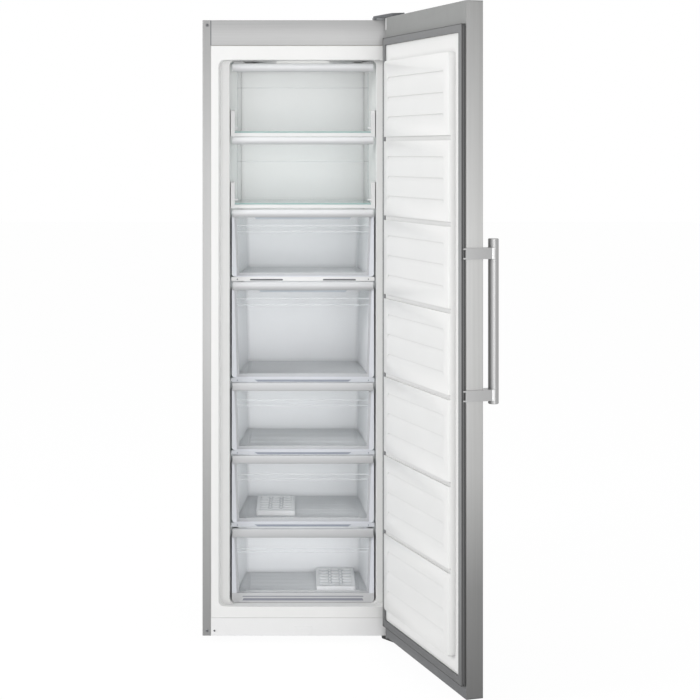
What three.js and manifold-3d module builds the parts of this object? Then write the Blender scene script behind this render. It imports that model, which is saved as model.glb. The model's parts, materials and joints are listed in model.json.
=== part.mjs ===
// Upright freezer, full height, with one door hinged on the right and standing open.
// Behind the door are two flap compartments on glass shelves and five drawers.
// Millimetres. X runs to the right, Y into the cabinet, Z up. The sub-parts are drawn with
// X = 0 at the cabinet's middle, Y = 0 at its front plane and Z = 0 on the floor; the whole
// is then moved so that the origin is the middle of the underside of its bounding box.

import * as THREE from 'three';
import { mergeVertices } from 'three/addons/utils/BufferGeometryUtils.js';
import Module from 'manifold-3d';

const wasm = await Module();
wasm.setup();

// ---------- Clearances ----------
const clearance = 0.3;          // between pieces that touch or seat on each other
const runningClearance = 0.35;  // round a pin or shaft, and beside a wheel

// ---------- Compartments ----------
// From the cavity's floor up: the pitch to the next shelf, the free height over the front,
// the height of the front's grip bar and half the width of the tab below the bar.
const cavityFloor = 105.6;
const compartments = [
  { kind: 'drawer', pitch: 238, headroom: 17.1, bar: 25.5 },
  { kind: 'drawer', pitch: 216, headroom: 14.6, bar: 23 },
  { kind: 'drawer', pitch: 217, headroom: 14.1, bar: 23.5 },
  { kind: 'drawer', pitch: 302, headroom: 14.6, bar: 25, tabHalf: 133 },
  { kind: 'drawer', pitch: 220.4, headroom: 19, bar: 23, tabHalf: 146 },
  { kind: 'flap', pitch: 214.3, headroom: 16.8, bar: 21.8 },
  { kind: 'flap', pitch: 211.2, headroom: 8.5, bar: 24.5 },
];
const levels = compartments.reduce((all, { pitch }) => [...all, all.at(-1) + pitch], [cavityFloor]);
const cavityCeiling = levels.at(-1);
const shelfTops = levels.slice(1, -1).reverse();
const stack = compartments.map(({ kind, headroom, bar, tabHalf }, i) => {
  const top = levels[i + 1] - headroom;
  return { kind, tabHalf, floor: levels[i], top, barBottom: top - bar };
}).reverse();
const flaps = stack.filter(({ kind }) => kind === 'flap');
const drawers = stack.filter(({ kind }) => kind === 'drawer');

// ---------- Cabinet shell ----------
const bodyWidth = 595;
const bodyDepth = 590;
const bodyBottom = 20;
const roofHeight = 117.5;       // the cavity's ceiling to the cabinet's top
const bodyTop = cavityCeiling + roofHeight;
const steelSheet = 1;
const bendRadius = 3;
const frontStrip = 25;          // side panel's strip beside the door opening
const rearReturn = 18;
const railHeight = 75.5;
const railBottom = bodyTop - railHeight;
const railThickness = 2.5;
const plinthTop = 72.5;
const plinthThickness = 2.5;
const topThickness = 3;
const topRecess = 1.2;
const topRecessMargin = 34;
const half = bodyWidth / 2;
const innerHalf = half - steelSheet - clearance;

// ---------- Machine compartment ----------
const frameSheet = 2;
const compartmentDepth = 198;
const compartmentFront = bodyDepth - compartmentDepth;
const compartmentTop = 250;

// ---------- Inner liner ----------
const linerSheet = 2;
const throatDepth = 30;         // the door's raised field enters this far at most
const throatWall = 47.5;        // insulated wall at the front
const throatTaper = 6;
const throatRadius = 18;
const roomWall = 78.8;          // insulated wall beside the drawers
const roomTaper = 23.7;
const rearWall = 72;
const cavityRadius = 15;
const stepWall = 47;            // insulation round the moulded step over the compressor
const stepRoof = 42;
const stepRadius = 12;
const ledgeHeight = 6;
const ledgeWidth = 8;
const ledgeFront = 92;
const throatFrontHalf = half - throatWall;
const throatRearHalf = throatFrontHalf - throatTaper;
const cavityFrontHalf = half - roomWall;
const cavityRearHalf = cavityFrontHalf - roomTaper;
const cavityRear = bodyDepth - rearWall;
const stepFront = compartmentFront - stepWall;
const stepTop = compartmentTop + stepRoof;
const wallHalf = (y) => cavityFrontHalf
  - roomTaper * (y - throatDepth) / (cavityRear - throatDepth);

// ---------- Back wall and ceiling duct of the cavity ----------
const evaporatorSpace = 68;     // the back wall's face to the liner behind it
const coverFront = cavityRear - evaporatorSpace;
const coverSheet = 2.5;
const coverReturn = 10;
const ductThickness = 12;
const ductFront = 64;
const outletInset = 55.7;       // outlet's middle to the cavity's side
const lensHalf = 79;
const lensDepth = 40;

// ---------- Shelves and flaps ----------
const glassThickness = 4;
const glassFronts = { flap: 46, drawer: 58 };
const glassRear = coverFront - 5;
const glassSideClearance = 1.5;

const frontPanelY = 50;         // clear panels of flaps and drawers
const frontPanel = 3;
const barSideGap = 8.2;
const barHalfWidth = cavityFrontHalf - barSideGap;
const barFront = 36;
const barBack = 54;
const barWall = 3.5;
const barRadius = 5;
const barEnd = 12;              // closed end of the grip bar's channel
const tabHeight = 6.5;
const tabProud = 1;

const carrierSideGap = 3.2;
const carrierHalfWidth = cavityFrontHalf - carrierSideGap;
const carrierUpright = 12;
const carrierRise = 64;         // uprights above the shelf's glass
const carrierFront = 43;
const carrierBack = 84;
const carrierTrim = 11.4;
const carrierTrimDepth = 16;
const flapSideGap = 6.5;
const flapHalfWidth = carrierHalfWidth - carrierUpright - flapSideGap;
const flapCrease = 73;          // moulded line below the flap's top edge
const pivotY = 51.5;
const pivotAboveShelf = 10;
const pivotRadius = 3;

// ---------- Drawers ----------
const drawerSideGap = 6.2;
const drawerHalfWidth = cavityFrontHalf - drawerSideGap;
const drawerCorner = 10;
const drawerRim = 3;
const drawerSlide = 0.4;        // running gap under a drawer
const lowestFrame = 28;          // height of the lowest drawer's bottom frame
const frameRecess = { half: 181, depth: 4, bands: [[5.5, 12.5], [16.5, 19.5]] };
const basketWall = 2.5;
const basketRear = { usual: coverFront - 20, lowest: stepFront - 17 };
const basketFloorRise = { usual: 3.3, lowest: 22.6 };
const basketFrontHalf = drawerHalfWidth - 1.5;
const basketRearHalf = cavityRearHalf - 7;
const basketFloorInset = 9;
const basketStrip = 13;         // white strip of the basket beside its window
const basketStripFoot = 20;
const basketSill = 8;
const basketRadius = 14;

const trayWidth = 118;
const trayFront = 81;           // of the tray in the lowest drawer
const trayDepth = basketRear.lowest - 22 - trayFront;
const trayHeight = 18;
const trayRows = 7;
const trayColumns = 3;
const trayPlaces = [
  { name: 'ice_tray_left', drawer: drawers[3], left: -142, front: trayFront + 39 },
  { name: 'ice_tray_right', drawer: drawers[4], left: 41, front: trayFront },
];

// ---------- Door ----------
const doorOpenAngle = 107.6;    // as it stands, counted from closed
const doorOverTop = 4;          // door's top above the cabinet's
const doorBottom = 28.6;
const doorTop = bodyTop + doorOverTop;
const doorSkinDepth = 48;
const doorGap = 13;             // cabinet front to the door's inner edge when closed
const hingeInset = 19.5;        // pin to the door's side
const hingePinRadius = 5;
const hingeDepth = 17;          // pin to the door's outer face
const doorHem = 12;
const capThickness = 2.2;
const linerBorder = { bottom: 33.4, top: 61 };
const doorLinerBottom = doorBottom + linerBorder.bottom;
const doorLinerTop = doorTop - linerBorder.top;
const doorLinerFlange = 7;
const fieldHeight = 27;
const fieldMargin = { side: 55, bottom: 61.6, top: 68.4 };
const fieldBottom = doorLinerBottom + fieldMargin.bottom;
const fieldTop = doorLinerTop - fieldMargin.top;
const fieldRadius = 12;
const fieldHollow = 15;         // depth of the foam behind the raised field
const fieldSections = 7;
const wideGrooveDepth = 7;
const wideGrooveHeight = 13;
const shallowGrooveDepth = 2.8;
const shallowGrooveHeight = 14;
const shallowGroovesPerSection = 3;
const shallowGrooveMargin = 88;
const gasketInset = 6;
const gasketWidth = 18;

// ---------- Handle ----------
const handleRadius = 14;
const handleRound = 24;
const handleBottom = 792;
const handleLength = 433;
const handleTop = handleBottom + handleLength;
const handleInset = 16;         // bar axis to the door's free side
const handleStandoff = 35.6;    // bar axis to the door's outer face
const bracketHeight = 29;
const bracketMargin = { bottom: 10.5, top: 23.5 };
const bracketPlate = 4;
const bracketReach = 34;
const plateLip = 3.2;
const prongLength = 6.5;
const prongHeight = 4;

// ---------- Hinges ----------
const hingePlate = 3;
const hingeWidth = 82.5;
const hingeOverDoor = 2.3;
const hingeRear = 76;
const hingeFrontMargin = 18;
const hingePinLength = 20;
const bottomPlate = 4;
const hingeCoverRise = 17;
const hingeCoverTop = bodyTop + hingeCoverRise;
const hingeCoverWall = 1.8;
const hingeX = half - hingeInset;
const hingeY = -doorGap - doorSkinDepth + hingeDepth;

// ---------- Feet and rollers ----------
const footInset = 42.5;
const footX = half - footInset;
const footY = 88;
const footPadRadius = 17;
const footPadHeight = 9;
const footStudRadius = 5;
const footStudTop = 58;
const rollerInset = { side: 49.5, rear: 38 };
const rollerX = half - rollerInset.side;
const rollerY = bodyDepth - rollerInset.rear;
const rollerRadius = 16;
const rollerWidth = 24;
const axleRadius = 4;

// ---------- Cooling ----------
const evaporatorBottom = stepTop + 40;
const evaporatorHeight = 270;
const evaporatorMargin = 27;
const finCount = 12;
const fanAboveStep = 508;
const fanZ = stepTop + fanAboveStep;
const fanRadius = 50;
const fanHub = 14;
const fanBlades = 5;
const fanThickness = 20;
const fanFront = coverFront + 10;
const fanShaft = 2;
const compressorX = -110;
const compressorY = compartmentFront + 100;
const compressorRadius = 66;
const compressorHeight = 152;
const drainPlace = [compressorX, coverFront + 40, 0];
const drainRadius = 7;
const coilTube = 2.5;
const coilRuns = 8;
const coilPitch = 50;
const coilBottom = compartmentTop + 80;
const coilTop = bodyTop - 122;

const round = 20;               // facets of a turned piece
const pinRound = 12;            // and of a pin, bore or tube
const cornerSteps = 3;          // facets of a rounded corner

// ---------- Shape helpers ----------
const X = new THREE.Vector3(1, 0, 0);
const Y = new THREE.Vector3(0, 1, 0);
const Z = new THREE.Vector3(0, 0, 1);
const planes = {                // outline directions and the direction it is swept in
  x: { u: Y, v: Z, w: X },
  y: { u: X, v: Z, w: Y },
  z: { u: X, v: Y, w: Z },
};

// A closed geometry as a solid whose faces point outwards.
function solid(geometry) {
  const bare = geometry.clone();
  bare.deleteAttribute('normal');
  bare.deleteAttribute('uv');
  const welded = mergeVertices(bare, 1e-4);
  const position = welded.getAttribute('position');
  const corners = welded.index.array;
  const [a, b, c] = [new THREE.Vector3(), new THREE.Vector3(), new THREE.Vector3()];
  const triangles = [];
  let volume = 0;
  for (let i = 0; i < corners.length; i += 3) {
    const [p, q, r] = corners.slice(i, i + 3);
    if (p === q || q === r || r === p) continue;
    triangles.push(p, q, r);
    a.fromBufferAttribute(position, p);
    b.fromBufferAttribute(position, q);
    c.fromBufferAttribute(position, r);
    volume += a.dot(b.cross(c));
  }
  if (volume < 0) triangles.reverse();
  return new wasm.Manifold(new wasm.Mesh({
    numProp: 3,
    vertProperties: new Float32Array(position.array),
    triVerts: new Uint32Array(triangles),
  }));
}

const join = (first, ...rest) => rest.reduce((sum, piece) => sum.add(piece), first);
const cut = (first, ...tools) => tools.reduce((left, tool) => left.subtract(tool), first);

function block(x0, x1, y0, y1, z0, z1) {
  const box = new THREE.BoxGeometry(x1 - x0, y1 - y0, z1 - z0);
  return solid(box.translate((x0 + x1) / 2, (y0 + y1) / 2, (z0 + z1) / 2));
}

function outline(...pairs) {
  return pairs.map(([u, v]) => new THREE.Vector2(u, v));
}

// Points along a round stretch, angles in degrees.
function arc(cu, cv, radius, from, to, steps = cornerSteps) {
  return Array.from({ length: steps + 1 }, (_, i) => {
    const angle = THREE.MathUtils.degToRad(from + (to - from) * i / steps);
    return new THREE.Vector2(cu + radius * Math.cos(angle), cv + radius * Math.sin(angle));
  });
}

function roundedRect(u0, u1, v0, v1, r, steps = cornerSteps) {
  return [
    ...arc(u1 - r, v0 + r, r, -90, 0, steps),
    ...arc(u1 - r, v1 - r, r, 0, 90, steps),
    ...arc(u0 + r, v1 - r, r, 90, 180, steps),
    ...arc(u0 + r, v0 + r, r, 180, 270, steps),
  ];
}

// An outline swept along an axis from one place to another.
function prismGeometry(axis, points, from, to) {
  const { u, v, w } = planes[axis];
  const swept = new THREE.ExtrudeGeometry(new THREE.Shape(points), {
    depth: to - from,
    bevelEnabled: false,
  });
  const mirrored = u.clone().cross(v).dot(w) < 0;
  const along = mirrored ? w.clone().negate() : w;
  swept.applyMatrix4(new THREE.Matrix4().makeBasis(u, v, along));
  return swept.translate(...w.clone().multiplyScalar(mirrored ? to : from).toArray());
}

const prism = (axis, points, from, to) => solid(prismGeometry(axis, points, from, to));

// A skin through outlines of equal point count, closed at both ends.
function loft(axis, rings) {
  const { u, v, w } = planes[axis];
  const count = rings[0].points.length;
  const last = (rings.length - 1) * count;
  const position = rings.flatMap(({ points, at }) => points.flatMap((p) => (
    new THREE.Vector3().addScaledVector(u, p.x).addScaledVector(v, p.y)
      .addScaledVector(w, at).toArray()
  )));
  const index = [];
  for (let k = 0; k < last; k += count) {
    for (let i = 0; i < count; i++) {
      const p = k + i;
      const q = k + (i + 1) % count;
      index.push(p, q, q + count, p, q + count, p + count);
    }
  }
  for (const [p, q, r] of THREE.ShapeUtils.triangulateShape(rings[0].points, [])) {
    index.push(r, q, p, last + p, last + q, last + r);
  }
  const skin = new THREE.BufferGeometry();
  skin.setAttribute('position', new THREE.Float32BufferAttribute(position, 3));
  return solid(skin.setIndex(index));
}

function rodGeometry(axis, radius, from, to, sides = round) {
  const rod = new THREE.CylinderGeometry(radius, radius, to - from, sides);
  if (axis === 'x') rod.rotateZ(-Math.PI / 2);
  if (axis === 'z') rod.rotateX(Math.PI / 2);
  return rod.translate(...planes[axis].w.clone().multiplyScalar((from + to) / 2).toArray());
}

function rod(axis, radius, from, to, [dx, dy, dz], sides = round) {
  return solid(rodGeometry(axis, radius, from, to, sides).translate(dx, dy, dz));
}

// A profile of (radius, height) pairs turned round a vertical axis.
function turned(profile, x, y, sides = round) {
  const lathe = new THREE.LatheGeometry(outline(...profile), sides);
  return solid(lathe.rotateX(Math.PI / 2).translate(x, y, 0));
}

// ---------- Finishes ----------
const finishes = {
  steel: { color: 0xb9babb, roughness: 0.38, metalness: 0.75 },
  sideGrey: { color: 0xb4b5b6, roughness: 0.45, metalness: 0.5 },
  white: { color: 0xebebea, roughness: 0.5, metalness: 0 },
  liner: { color: 0xeaeaeb, roughness: 0.4, metalness: 0 },
  clear: { color: 0xdfe6ea, roughness: 0.12, metalness: 0, transparent: true, opacity: 0.35 },
  glass: { color: 0xd8ece6, roughness: 0.05, metalness: 0, transparent: true, opacity: 0.35 },
  trim: { color: 0xdcdddf, roughness: 0.35, metalness: 0 },
  gasket: { color: 0x8f9193, roughness: 0.75, metalness: 0 },
  darkPlastic: { color: 0x54565a, roughness: 0.5, metalness: 0 },
  black: { color: 0x202124, roughness: 0.55, metalness: 0.1 },
  foam: { color: 0xd8cfae, roughness: 0.9, metalness: 0 },
  aluminium: { color: 0xc3c6c9, roughness: 0.35, metalness: 0.9 },
  copper: { color: 0xb1734d, roughness: 0.35, metalness: 0.9 },
  zinc: { color: 0xa9acaf, roughness: 0.45, metalness: 0.8 },
};

const freezer = new THREE.Group();
const cabinet = new THREE.Group();
freezer.add(cabinet);

function addPiece(name, shape, finish, parent = cabinet) {
  const { vertProperties, triVerts } = shape.getMesh();
  const geometry = new THREE.BufferGeometry();
  geometry.setAttribute('position', new THREE.BufferAttribute(vertProperties, 3));
  geometry.setIndex(new THREE.BufferAttribute(triVerts, 1));
  geometry.computeVertexNormals();
  const material = new THREE.MeshStandardMaterial({ flatShading: true, ...finishes[finish] });
  const mesh = new THREE.Mesh(geometry, material);
  mesh.name = name;
  parent.add(mesh);
}

// ---------- Cabinet shell ----------
// Sheet steel bent into the side wall, the strip beside the door and the return at the back.
function sidePanel(side) {
  const outer = arc(half - bendRadius, bendRadius, bendRadius, -90, 0);
  const inner = arc(half - bendRadius, bendRadius, bendRadius - steelSheet, 0, -90);
  const points = [
    ...outline([half - frontStrip, 0]),
    ...outer,
    ...outline(
      [half, bodyDepth],
      [half - rearReturn, bodyDepth],
      [half - rearReturn, bodyDepth - steelSheet],
      [half - steelSheet, bodyDepth - steelSheet],
    ),
    ...inner,
    ...outline([half - frontStrip, steelSheet]),
  ];
  const placed = points.map((p) => new THREE.Vector2(side * p.x, p.y));
  return prism('z', placed, bodyBottom, bodyTop);
}

const innerRear = bodyDepth - steelSheet - clearance;

function topPanel() {
  const front = railThickness + clearance;
  const lid = block(-innerHalf, innerHalf, front, innerRear, bodyTop - topThickness, bodyTop);
  const recess = loft('z', [0, 1].map((up) => ({
    at: bodyTop - topRecess * (1 - up) + up,
    points: roundedRect(
      -innerHalf + topRecessMargin - 3 * up,
      innerHalf - topRecessMargin + 3 * up,
      front + 2 * topRecessMargin - 3 * up,
      innerRear - topRecessMargin + 3 * up,
      20,
    ),
  })));
  return cut(lid, recess);
}

const openingHalf = half - frontStrip - clearance;

function topFrontRail() {
  const face = roundedRect(0, railThickness, railBottom + clearance, bodyTop, 1, 2);
  return prism('x', face, -openingHalf, openingHalf);
}

const shellTop = bodyTop - topThickness - clearance;

function backPanel() {
  const bottom = compartmentTop + clearance;
  const sheet = block(-innerHalf, innerHalf, innerRear - steelSheet, innerRear, bottom, shellTop);
  const margin = 60;
  const stiffener = loft('y', [0, 1].map((out) => ({
    at: innerRear - steelSheet / 2 + out * (steelSheet / 2 + 1.8),
    points: roundedRect(
      -innerHalf + margin + 6 * out,
      innerHalf - margin - 6 * out,
      bottom + margin + 6 * out,
      shellTop - margin - 6 * out,
      20,
    ),
  })));
  return join(sheet, stiffener);
}

// ---------- Liner ----------
// The space inside the liner, or that space grown on every side.
function cavityForm(grow) {
  const front = grow > 0 ? linerSheet / 4 : -1;
  const throat = loft('y', [
    { at: front, half: throatFrontHalf },
    { at: throatDepth + grow, half: throatRearHalf },
  ].map(({ at, half: side }) => ({
    at,
    points: roundedRect(
      -side - grow,
      side + grow,
      cavityFloor - grow,
      cavityCeiling + grow,
      throatRadius + grow,
    ),
  })));
  const room = loft('y', [
    { at: throatDepth - 2, half: wallHalf(throatDepth - 2) },
    { at: cavityRear + grow, half: wallHalf(cavityRear + grow) },
  ].map(({ at, half: side }) => ({
    at,
    points: roundedRect(
      -side - grow,
      side + grow,
      cavityFloor - grow,
      cavityCeiling + grow,
      cavityRadius + grow,
    ),
  })));
  const corner = stepRadius - Math.min(grow, stepRadius / 2);
  const step = [
    ...outline([cavityRear + 60, cavityFloor - 60], [stepFront + grow, cavityFloor - 60]),
    ...arc(stepFront + grow + corner, stepTop - grow - corner, corner, 180, 90),
    ...outline([cavityRear + 60, stepTop - grow]),
  ];
  return cut(join(throat, room), prism('x', step, -cavityFrontHalf - 60, cavityFrontHalf + 60));
}

// Moulded ledge that a glass shelf lies on, following the tapered wall.
function shelfLedge(side, shelfTop, rear) {
  const top = shelfTop - glassThickness - clearance;
  const points = outline(
    [side * (wallHalf(ledgeFront) + 1), ledgeFront],
    [side * (wallHalf(rear) + 1), rear],
    [side * (wallHalf(rear) - ledgeWidth), rear],
    [side * (wallHalf(ledgeFront) - ledgeWidth), ledgeFront],
  );
  return prism('z', points, top - ledgeHeight, top);
}

const drainHole = (from, to) => rod('z', drainRadius + clearance, from, to, drainPlace, pinRound);

function innerLiner() {
  const flange = block(
    -openingHalf,
    openingHalf,
    0,
    linerSheet,
    plinthTop + clearance,
    railBottom - clearance,
  );
  const shell = cut(join(flange, cavityForm(linerSheet)), cavityForm(0));
  const ledges = shelfTops.flatMap((top) => (
    [-1, 1].map((side) => shelfLedge(side, top, glassRear - 5))
  ));
  return cut(join(shell, ...ledges), drainHole(stepTop - 20, stepTop + 5));
}

function cabinetFoam() {
  const front = Math.max(railThickness, plinthThickness, linerSheet) + clearance;
  const mass = block(
    -innerHalf,
    innerHalf,
    front,
    innerRear - steelSheet - clearance,
    bodyBottom + frameSheet + clearance,
    shellTop,
  );
  const compartment = block(
    -half,
    half,
    compartmentFront - clearance,
    bodyDepth + 1,
    bodyBottom,
    compartmentTop + clearance,
  );
  const coilHalf = coilPitch * (coilRuns - 1) / 2 + coilPitch;
  const coilRecess = block(
    -coilHalf,
    coilHalf,
    innerRear - steelSheet - 2 * coilTube - 3 * clearance,
    bodyDepth + 1,
    coilBottom - coilPitch,
    coilTop + coilPitch,
  );
  const studs = [-1, 1].map((side) => rod(
    'z',
    footStudRadius + 1,
    bodyBottom,
    footStudTop + 3,
    [side * footX, footY, 0],
    pinRound,
  ));
  return cut(
    mass,
    cavityForm(linerSheet + clearance),
    compartment,
    coilRecess,
    drainHole(compartmentTop - 5, stepTop + 5),
    ...studs,
  );
}

function plinthCover() {
  const plate = block(
    -openingHalf,
    openingHalf,
    0,
    plinthThickness,
    bodyBottom,
    plinthTop,
  );
  const hatch = loft('y', [-0.8, plinthThickness / 2].map((at) => ({
    at,
    points: roundedRect(-26.5, 26.5, bodyBottom + 5, bodyBottom + 27, 2),
  })));
  const screw = rod('y', 4, -1, plinthThickness / 2, [-openingHalf + 10.5, 0, bodyBottom + 15], 12);
  return join(plate, hatch, screw);
}

// Floor plate, wall and ceiling of the machine compartment, with the rollers' cheeks and axles.
function baseFrame() {
  const front = plinthThickness + clearance;
  const floorTop = bodyBottom + frameSheet;
  const wall = compartmentFront + frameSheet;
  const profile = outline(
    [front, bodyBottom],
    [innerRear, bodyBottom],
    [innerRear, floorTop],
    [wall, floorTop],
    [wall, compartmentTop - frameSheet],
    [innerRear - steelSheet - clearance, compartmentTop - frameSheet],
    [innerRear - steelSheet - clearance, compartmentTop],
    [compartmentFront, compartmentTop],
    [compartmentFront, floorTop],
    [front, floorTop],
  );
  const sheet = prism('x', profile, -innerHalf, innerHalf);
  const feet = [-1, 1].map((side) => rod(
    'z',
    footStudRadius + runningClearance,
    bodyBottom - 1,
    floorTop + 1,
    [side * footX, footY, 0],
    pinRound,
  ));
  const slotHalf = rollerWidth / 2 + 1;
  const slots = [-1, 1].map((side) => block(
    side * rollerX - slotHalf,
    side * rollerX + slotHalf,
    rollerY - rollerRadius - 1.5,
    rollerY + rollerRadius + 1.5,
    bodyBottom - 1,
    floorTop + 1,
  ));
  const cheekShape = [
    ...arc(rollerY, rollerRadius, 9, 180, 360, 6),
    ...outline([rollerY + 14, floorTop - 0.5], [rollerY - 14, floorTop - 0.5]),
  ];
  const cheeks = [-1, 1].flatMap((side) => [-1, 1].map((end) => {
    const middle = side * rollerX + end * (slotHalf + frameSheet / 2);
    return prism('x', cheekShape, middle - frameSheet / 2, middle + frameSheet / 2);
  }));
  const axles = [-1, 1].map((side) => rod(
    'x',
    axleRadius,
    side * rollerX - slotHalf - frameSheet,
    side * rollerX + slotHalf + frameSheet,
    [0, rollerY, rollerRadius],
    pinRound,
  ));
  const drain = drainHole(compartmentTop - 10, compartmentTop + 5);
  return join(cut(sheet, ...feet, ...slots, drain), ...cheeks, ...axles);
}

function frontFoot(side) {
  const foot = turned([
    [0, 0],
    [footPadRadius - 1, 0],
    [footPadRadius, 1],
    [footPadRadius, footPadHeight - 2],
    [footPadRadius - 3, footPadHeight],
    [footStudRadius, footPadHeight],
    [footStudRadius, footStudTop - 1],
    [footStudRadius - 1, footStudTop],
    [0, footStudTop],
  ], side * footX, footY, 16);
  return foot;
}

function rearRoller(side) {
  const middle = side * rollerX;
  const axis = [0, rollerY, rollerRadius];
  const tyre = rod(
    'x',
    rollerRadius,
    middle - rollerWidth / 2,
    middle + rollerWidth / 2,
    axis,
  );
  const grooves = [-1, 1].map((end) => cut(
    rod(
      'x',
      rollerRadius - 4,
      middle + end * (rollerWidth / 2 - 1) - 1.5,
      middle + end * (rollerWidth / 2 - 1) + 1.5,
      axis,
    ),
    rod('x', axleRadius + 3, -half, half, axis, pinRound),
  ));
  const bore = rod('x', axleRadius + runningClearance, -half, half, axis, pinRound);
  return cut(tyre, ...grooves, bore);
}

// ---------- Cold room fittings ----------
const coverHalf = wallHalf(coverFront + coverSheet) - clearance;

// The cavity's back wall, a shallow channel with returns that reach back beside the evaporator.
function evaporatorCover() {
  const inner = coverHalf - coverSheet;
  const rear = coverFront + coverReturn;
  const lean = coverHalf - (wallHalf(rear) - clearance);
  const channel = outline(
    [-coverHalf, coverFront],
    [coverHalf, coverFront],
    [coverHalf - lean, rear],
    [inner - lean, rear],
    [inner, coverFront + coverSheet],
    [-inner, coverFront + coverSheet],
    [-inner + lean, rear],
    [-coverHalf + lean, rear],
  );
  const top = cavityCeiling - clearance;
  const wall = prism('z', channel, stepTop + clearance, top);
  const slots = [-1, 0, 1].map((place) => prism('y', roundedRect(
    place * 90 - 34,
    place * 90 + 34,
    stepTop + 14,
    stepTop + 22,
    3.9,
  ), coverFront - 1, coverFront + coverSheet + 1));
  return cut(wall, ...slots).intersect(cavityForm(-clearance));
}

const ductRear = coverFront - clearance;
const ductBottom = cavityCeiling - clearance - ductThickness;

// Cold-air duct under the ceiling: two front outlets and a notch for the light.
function ceilingDuct() {
  const margin = 8;
  const plan = outline(
    [-wallHalf(ductFront) + margin, ductFront],
    [wallHalf(ductFront) - margin, ductFront],
    [wallHalf(ductRear) - margin, ductRear],
    [-wallHalf(ductRear) + margin, ductRear],
  );
  const duct = prism('z', plan, ductBottom, ductBottom + ductThickness);
  const notch = block(
    -lensHalf - clearance,
    lensHalf + clearance,
    ductFront - 1,
    ductFront + lensDepth + clearance,
    ductBottom - 1,
    cavityCeiling,
  );
  const outletX = cavityFrontHalf - outletInset;
  const outlets = [-1, 1].map((side) => block(
    side * outletX - 12,
    side * outletX + 12,
    ductFront - 1,
    ductFront + 25,
    ductBottom + 6,
    ductBottom + ductThickness - 2,
  ));
  return cut(duct, notch, ...outlets).intersect(cavityForm(-clearance));
}

function lightCover() {
  const bow = 3;
  const radius = (lensHalf * lensHalf + bow * bow) / (2 * bow);
  const sweep = THREE.MathUtils.radToDeg(Math.asin(lensHalf / radius));
  const plan = [
    ...arc(0, ductFront - bow + radius, radius, -90 - sweep, -90 + sweep, 8),
    ...outline([lensHalf, ductFront + lensDepth], [-lensHalf, ductFront + lensDepth]),
  ];
  return prism('z', plan, ductBottom + 1, ductBottom + ductThickness);
}

// Glass pane cut to the tapered walls; notched where a flap carrier stands.
function glassShelf(shelfTop, notched) {
  const front = notched ? glassFronts.flap : glassFronts.drawer;
  const side = (y) => wallHalf(y) - glassSideClearance;
  const notchHalf = carrierHalfWidth - carrierUpright - 1;
  const notchBack = carrierBack + 1;
  const right = notched
    ? [[notchHalf, front], [notchHalf, notchBack], [side(notchBack), notchBack]]
    : [[side(front), front]];
  const ends = [...right, [side(glassRear), glassRear]];
  const mirrored = ends.map(([x, y]) => [-x, y]).reverse();
  return prism('z', outline(...ends, ...mirrored), shelfTop - glassThickness, shelfTop);
}

const flapPivotZ = (shelfTop) => shelfTop + pivotAboveShelf;

// White front trim of a shelf with the two uprights that hold the flap's pins.
function flapCarrier(shelfTop) {
  const trimTop = shelfTop - glassThickness - clearance;
  const bottom = trimTop - carrierTrim;
  const inner = carrierHalfWidth - carrierUpright;
  const trim = prism(
    'x',
    roundedRect(carrierFront, carrierFront + carrierTrimDepth, bottom, trimTop, 2, 2),
    -carrierHalfWidth,
    carrierHalfWidth,
  );
  const top = shelfTop + carrierRise;
  const sideShape = [
    ...outline([carrierFront, bottom], [carrierBack, bottom]),
    ...arc(carrierBack - 16, top - 16, 16, 0, 90, 4),
    ...arc(carrierFront + 6, top - 6, 6, 90, 180),
  ];
  const uprights = [-1, 1].map((side) => {
    const [from, to] = [side * inner, side * carrierHalfWidth].sort((p, q) => p - q);
    return prism('x', sideShape, from, to);
  });
  const bores = rod(
    'x',
    pivotRadius + runningClearance,
    -carrierHalfWidth - 1,
    carrierHalfWidth + 1,
    [0, pivotY, flapPivotZ(shelfTop)],
    pinRound,
  );
  return cut(join(trim, ...uprights), bores);
}

// Grip bar: rounded front, open from below for the fingers.
function gripBar(bottom, top) {
  const section = [
    ...outline([barBack, bottom], [barBack, top]),
    ...arc(barFront + barRadius, top - barRadius, barRadius, 90, 180, 4),
    ...arc(barFront + 2, bottom + 2, 2, 180, 270, 2),
  ];
  const bar = prism('x', section, -barHalfWidth, barHalfWidth);
  const grip = block(
    -barHalfWidth + barEnd,
    barHalfWidth - barEnd,
    barFront + barWall,
    frontPanelY - 1,
    bottom - 1,
    top - barWall,
  );
  return cut(bar, grip);
}

function flap({ floor, top, barBottom }) {
  const pivotZ = flapPivotZ(floor);
  const bottom = floor + 4;
  const panelTop = (barBottom + top) / 2;
  const panel = block(
    -flapHalfWidth,
    flapHalfWidth,
    frontPanelY,
    frontPanelY + frontPanel,
    bottom,
    panelTop,
  );
  const crease = block(
    -flapHalfWidth,
    flapHalfWidth,
    frontPanelY - 0.8,
    frontPanelY + 1,
    top - flapCrease - 1,
    top - flapCrease + 1,
  );
  const ribs = [-1, 1].map((side) => block(
    side * (flapHalfWidth - 1.5) - 1.5,
    side * (flapHalfWidth - 1.5) + 1.5,
    frontPanelY + 1,
    frontPanelY + 14,
    bottom,
    panelTop,
  ));
  const pins = [-1, 1].map((side) => rod(
    'x',
    pivotRadius,
    side > 0 ? flapHalfWidth - 3 : -carrierHalfWidth + 2,
    side > 0 ? carrierHalfWidth - 2 : -flapHalfWidth + 3,
    [0, pivotY, pivotZ],
    pinRound,
  ));
  return join(panel, gripBar(barBottom, top), crease, ...ribs, ...pins);
}

// ---------- Drawers ----------
const drawerBottom = ({ floor }) => floor + drawerSlide;
const placeOf = ({ floor }) => (floor > cavityFloor ? 'usual' : 'lowest');
const basketFront = frontPanelY + frontPanel + clearance;

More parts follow.
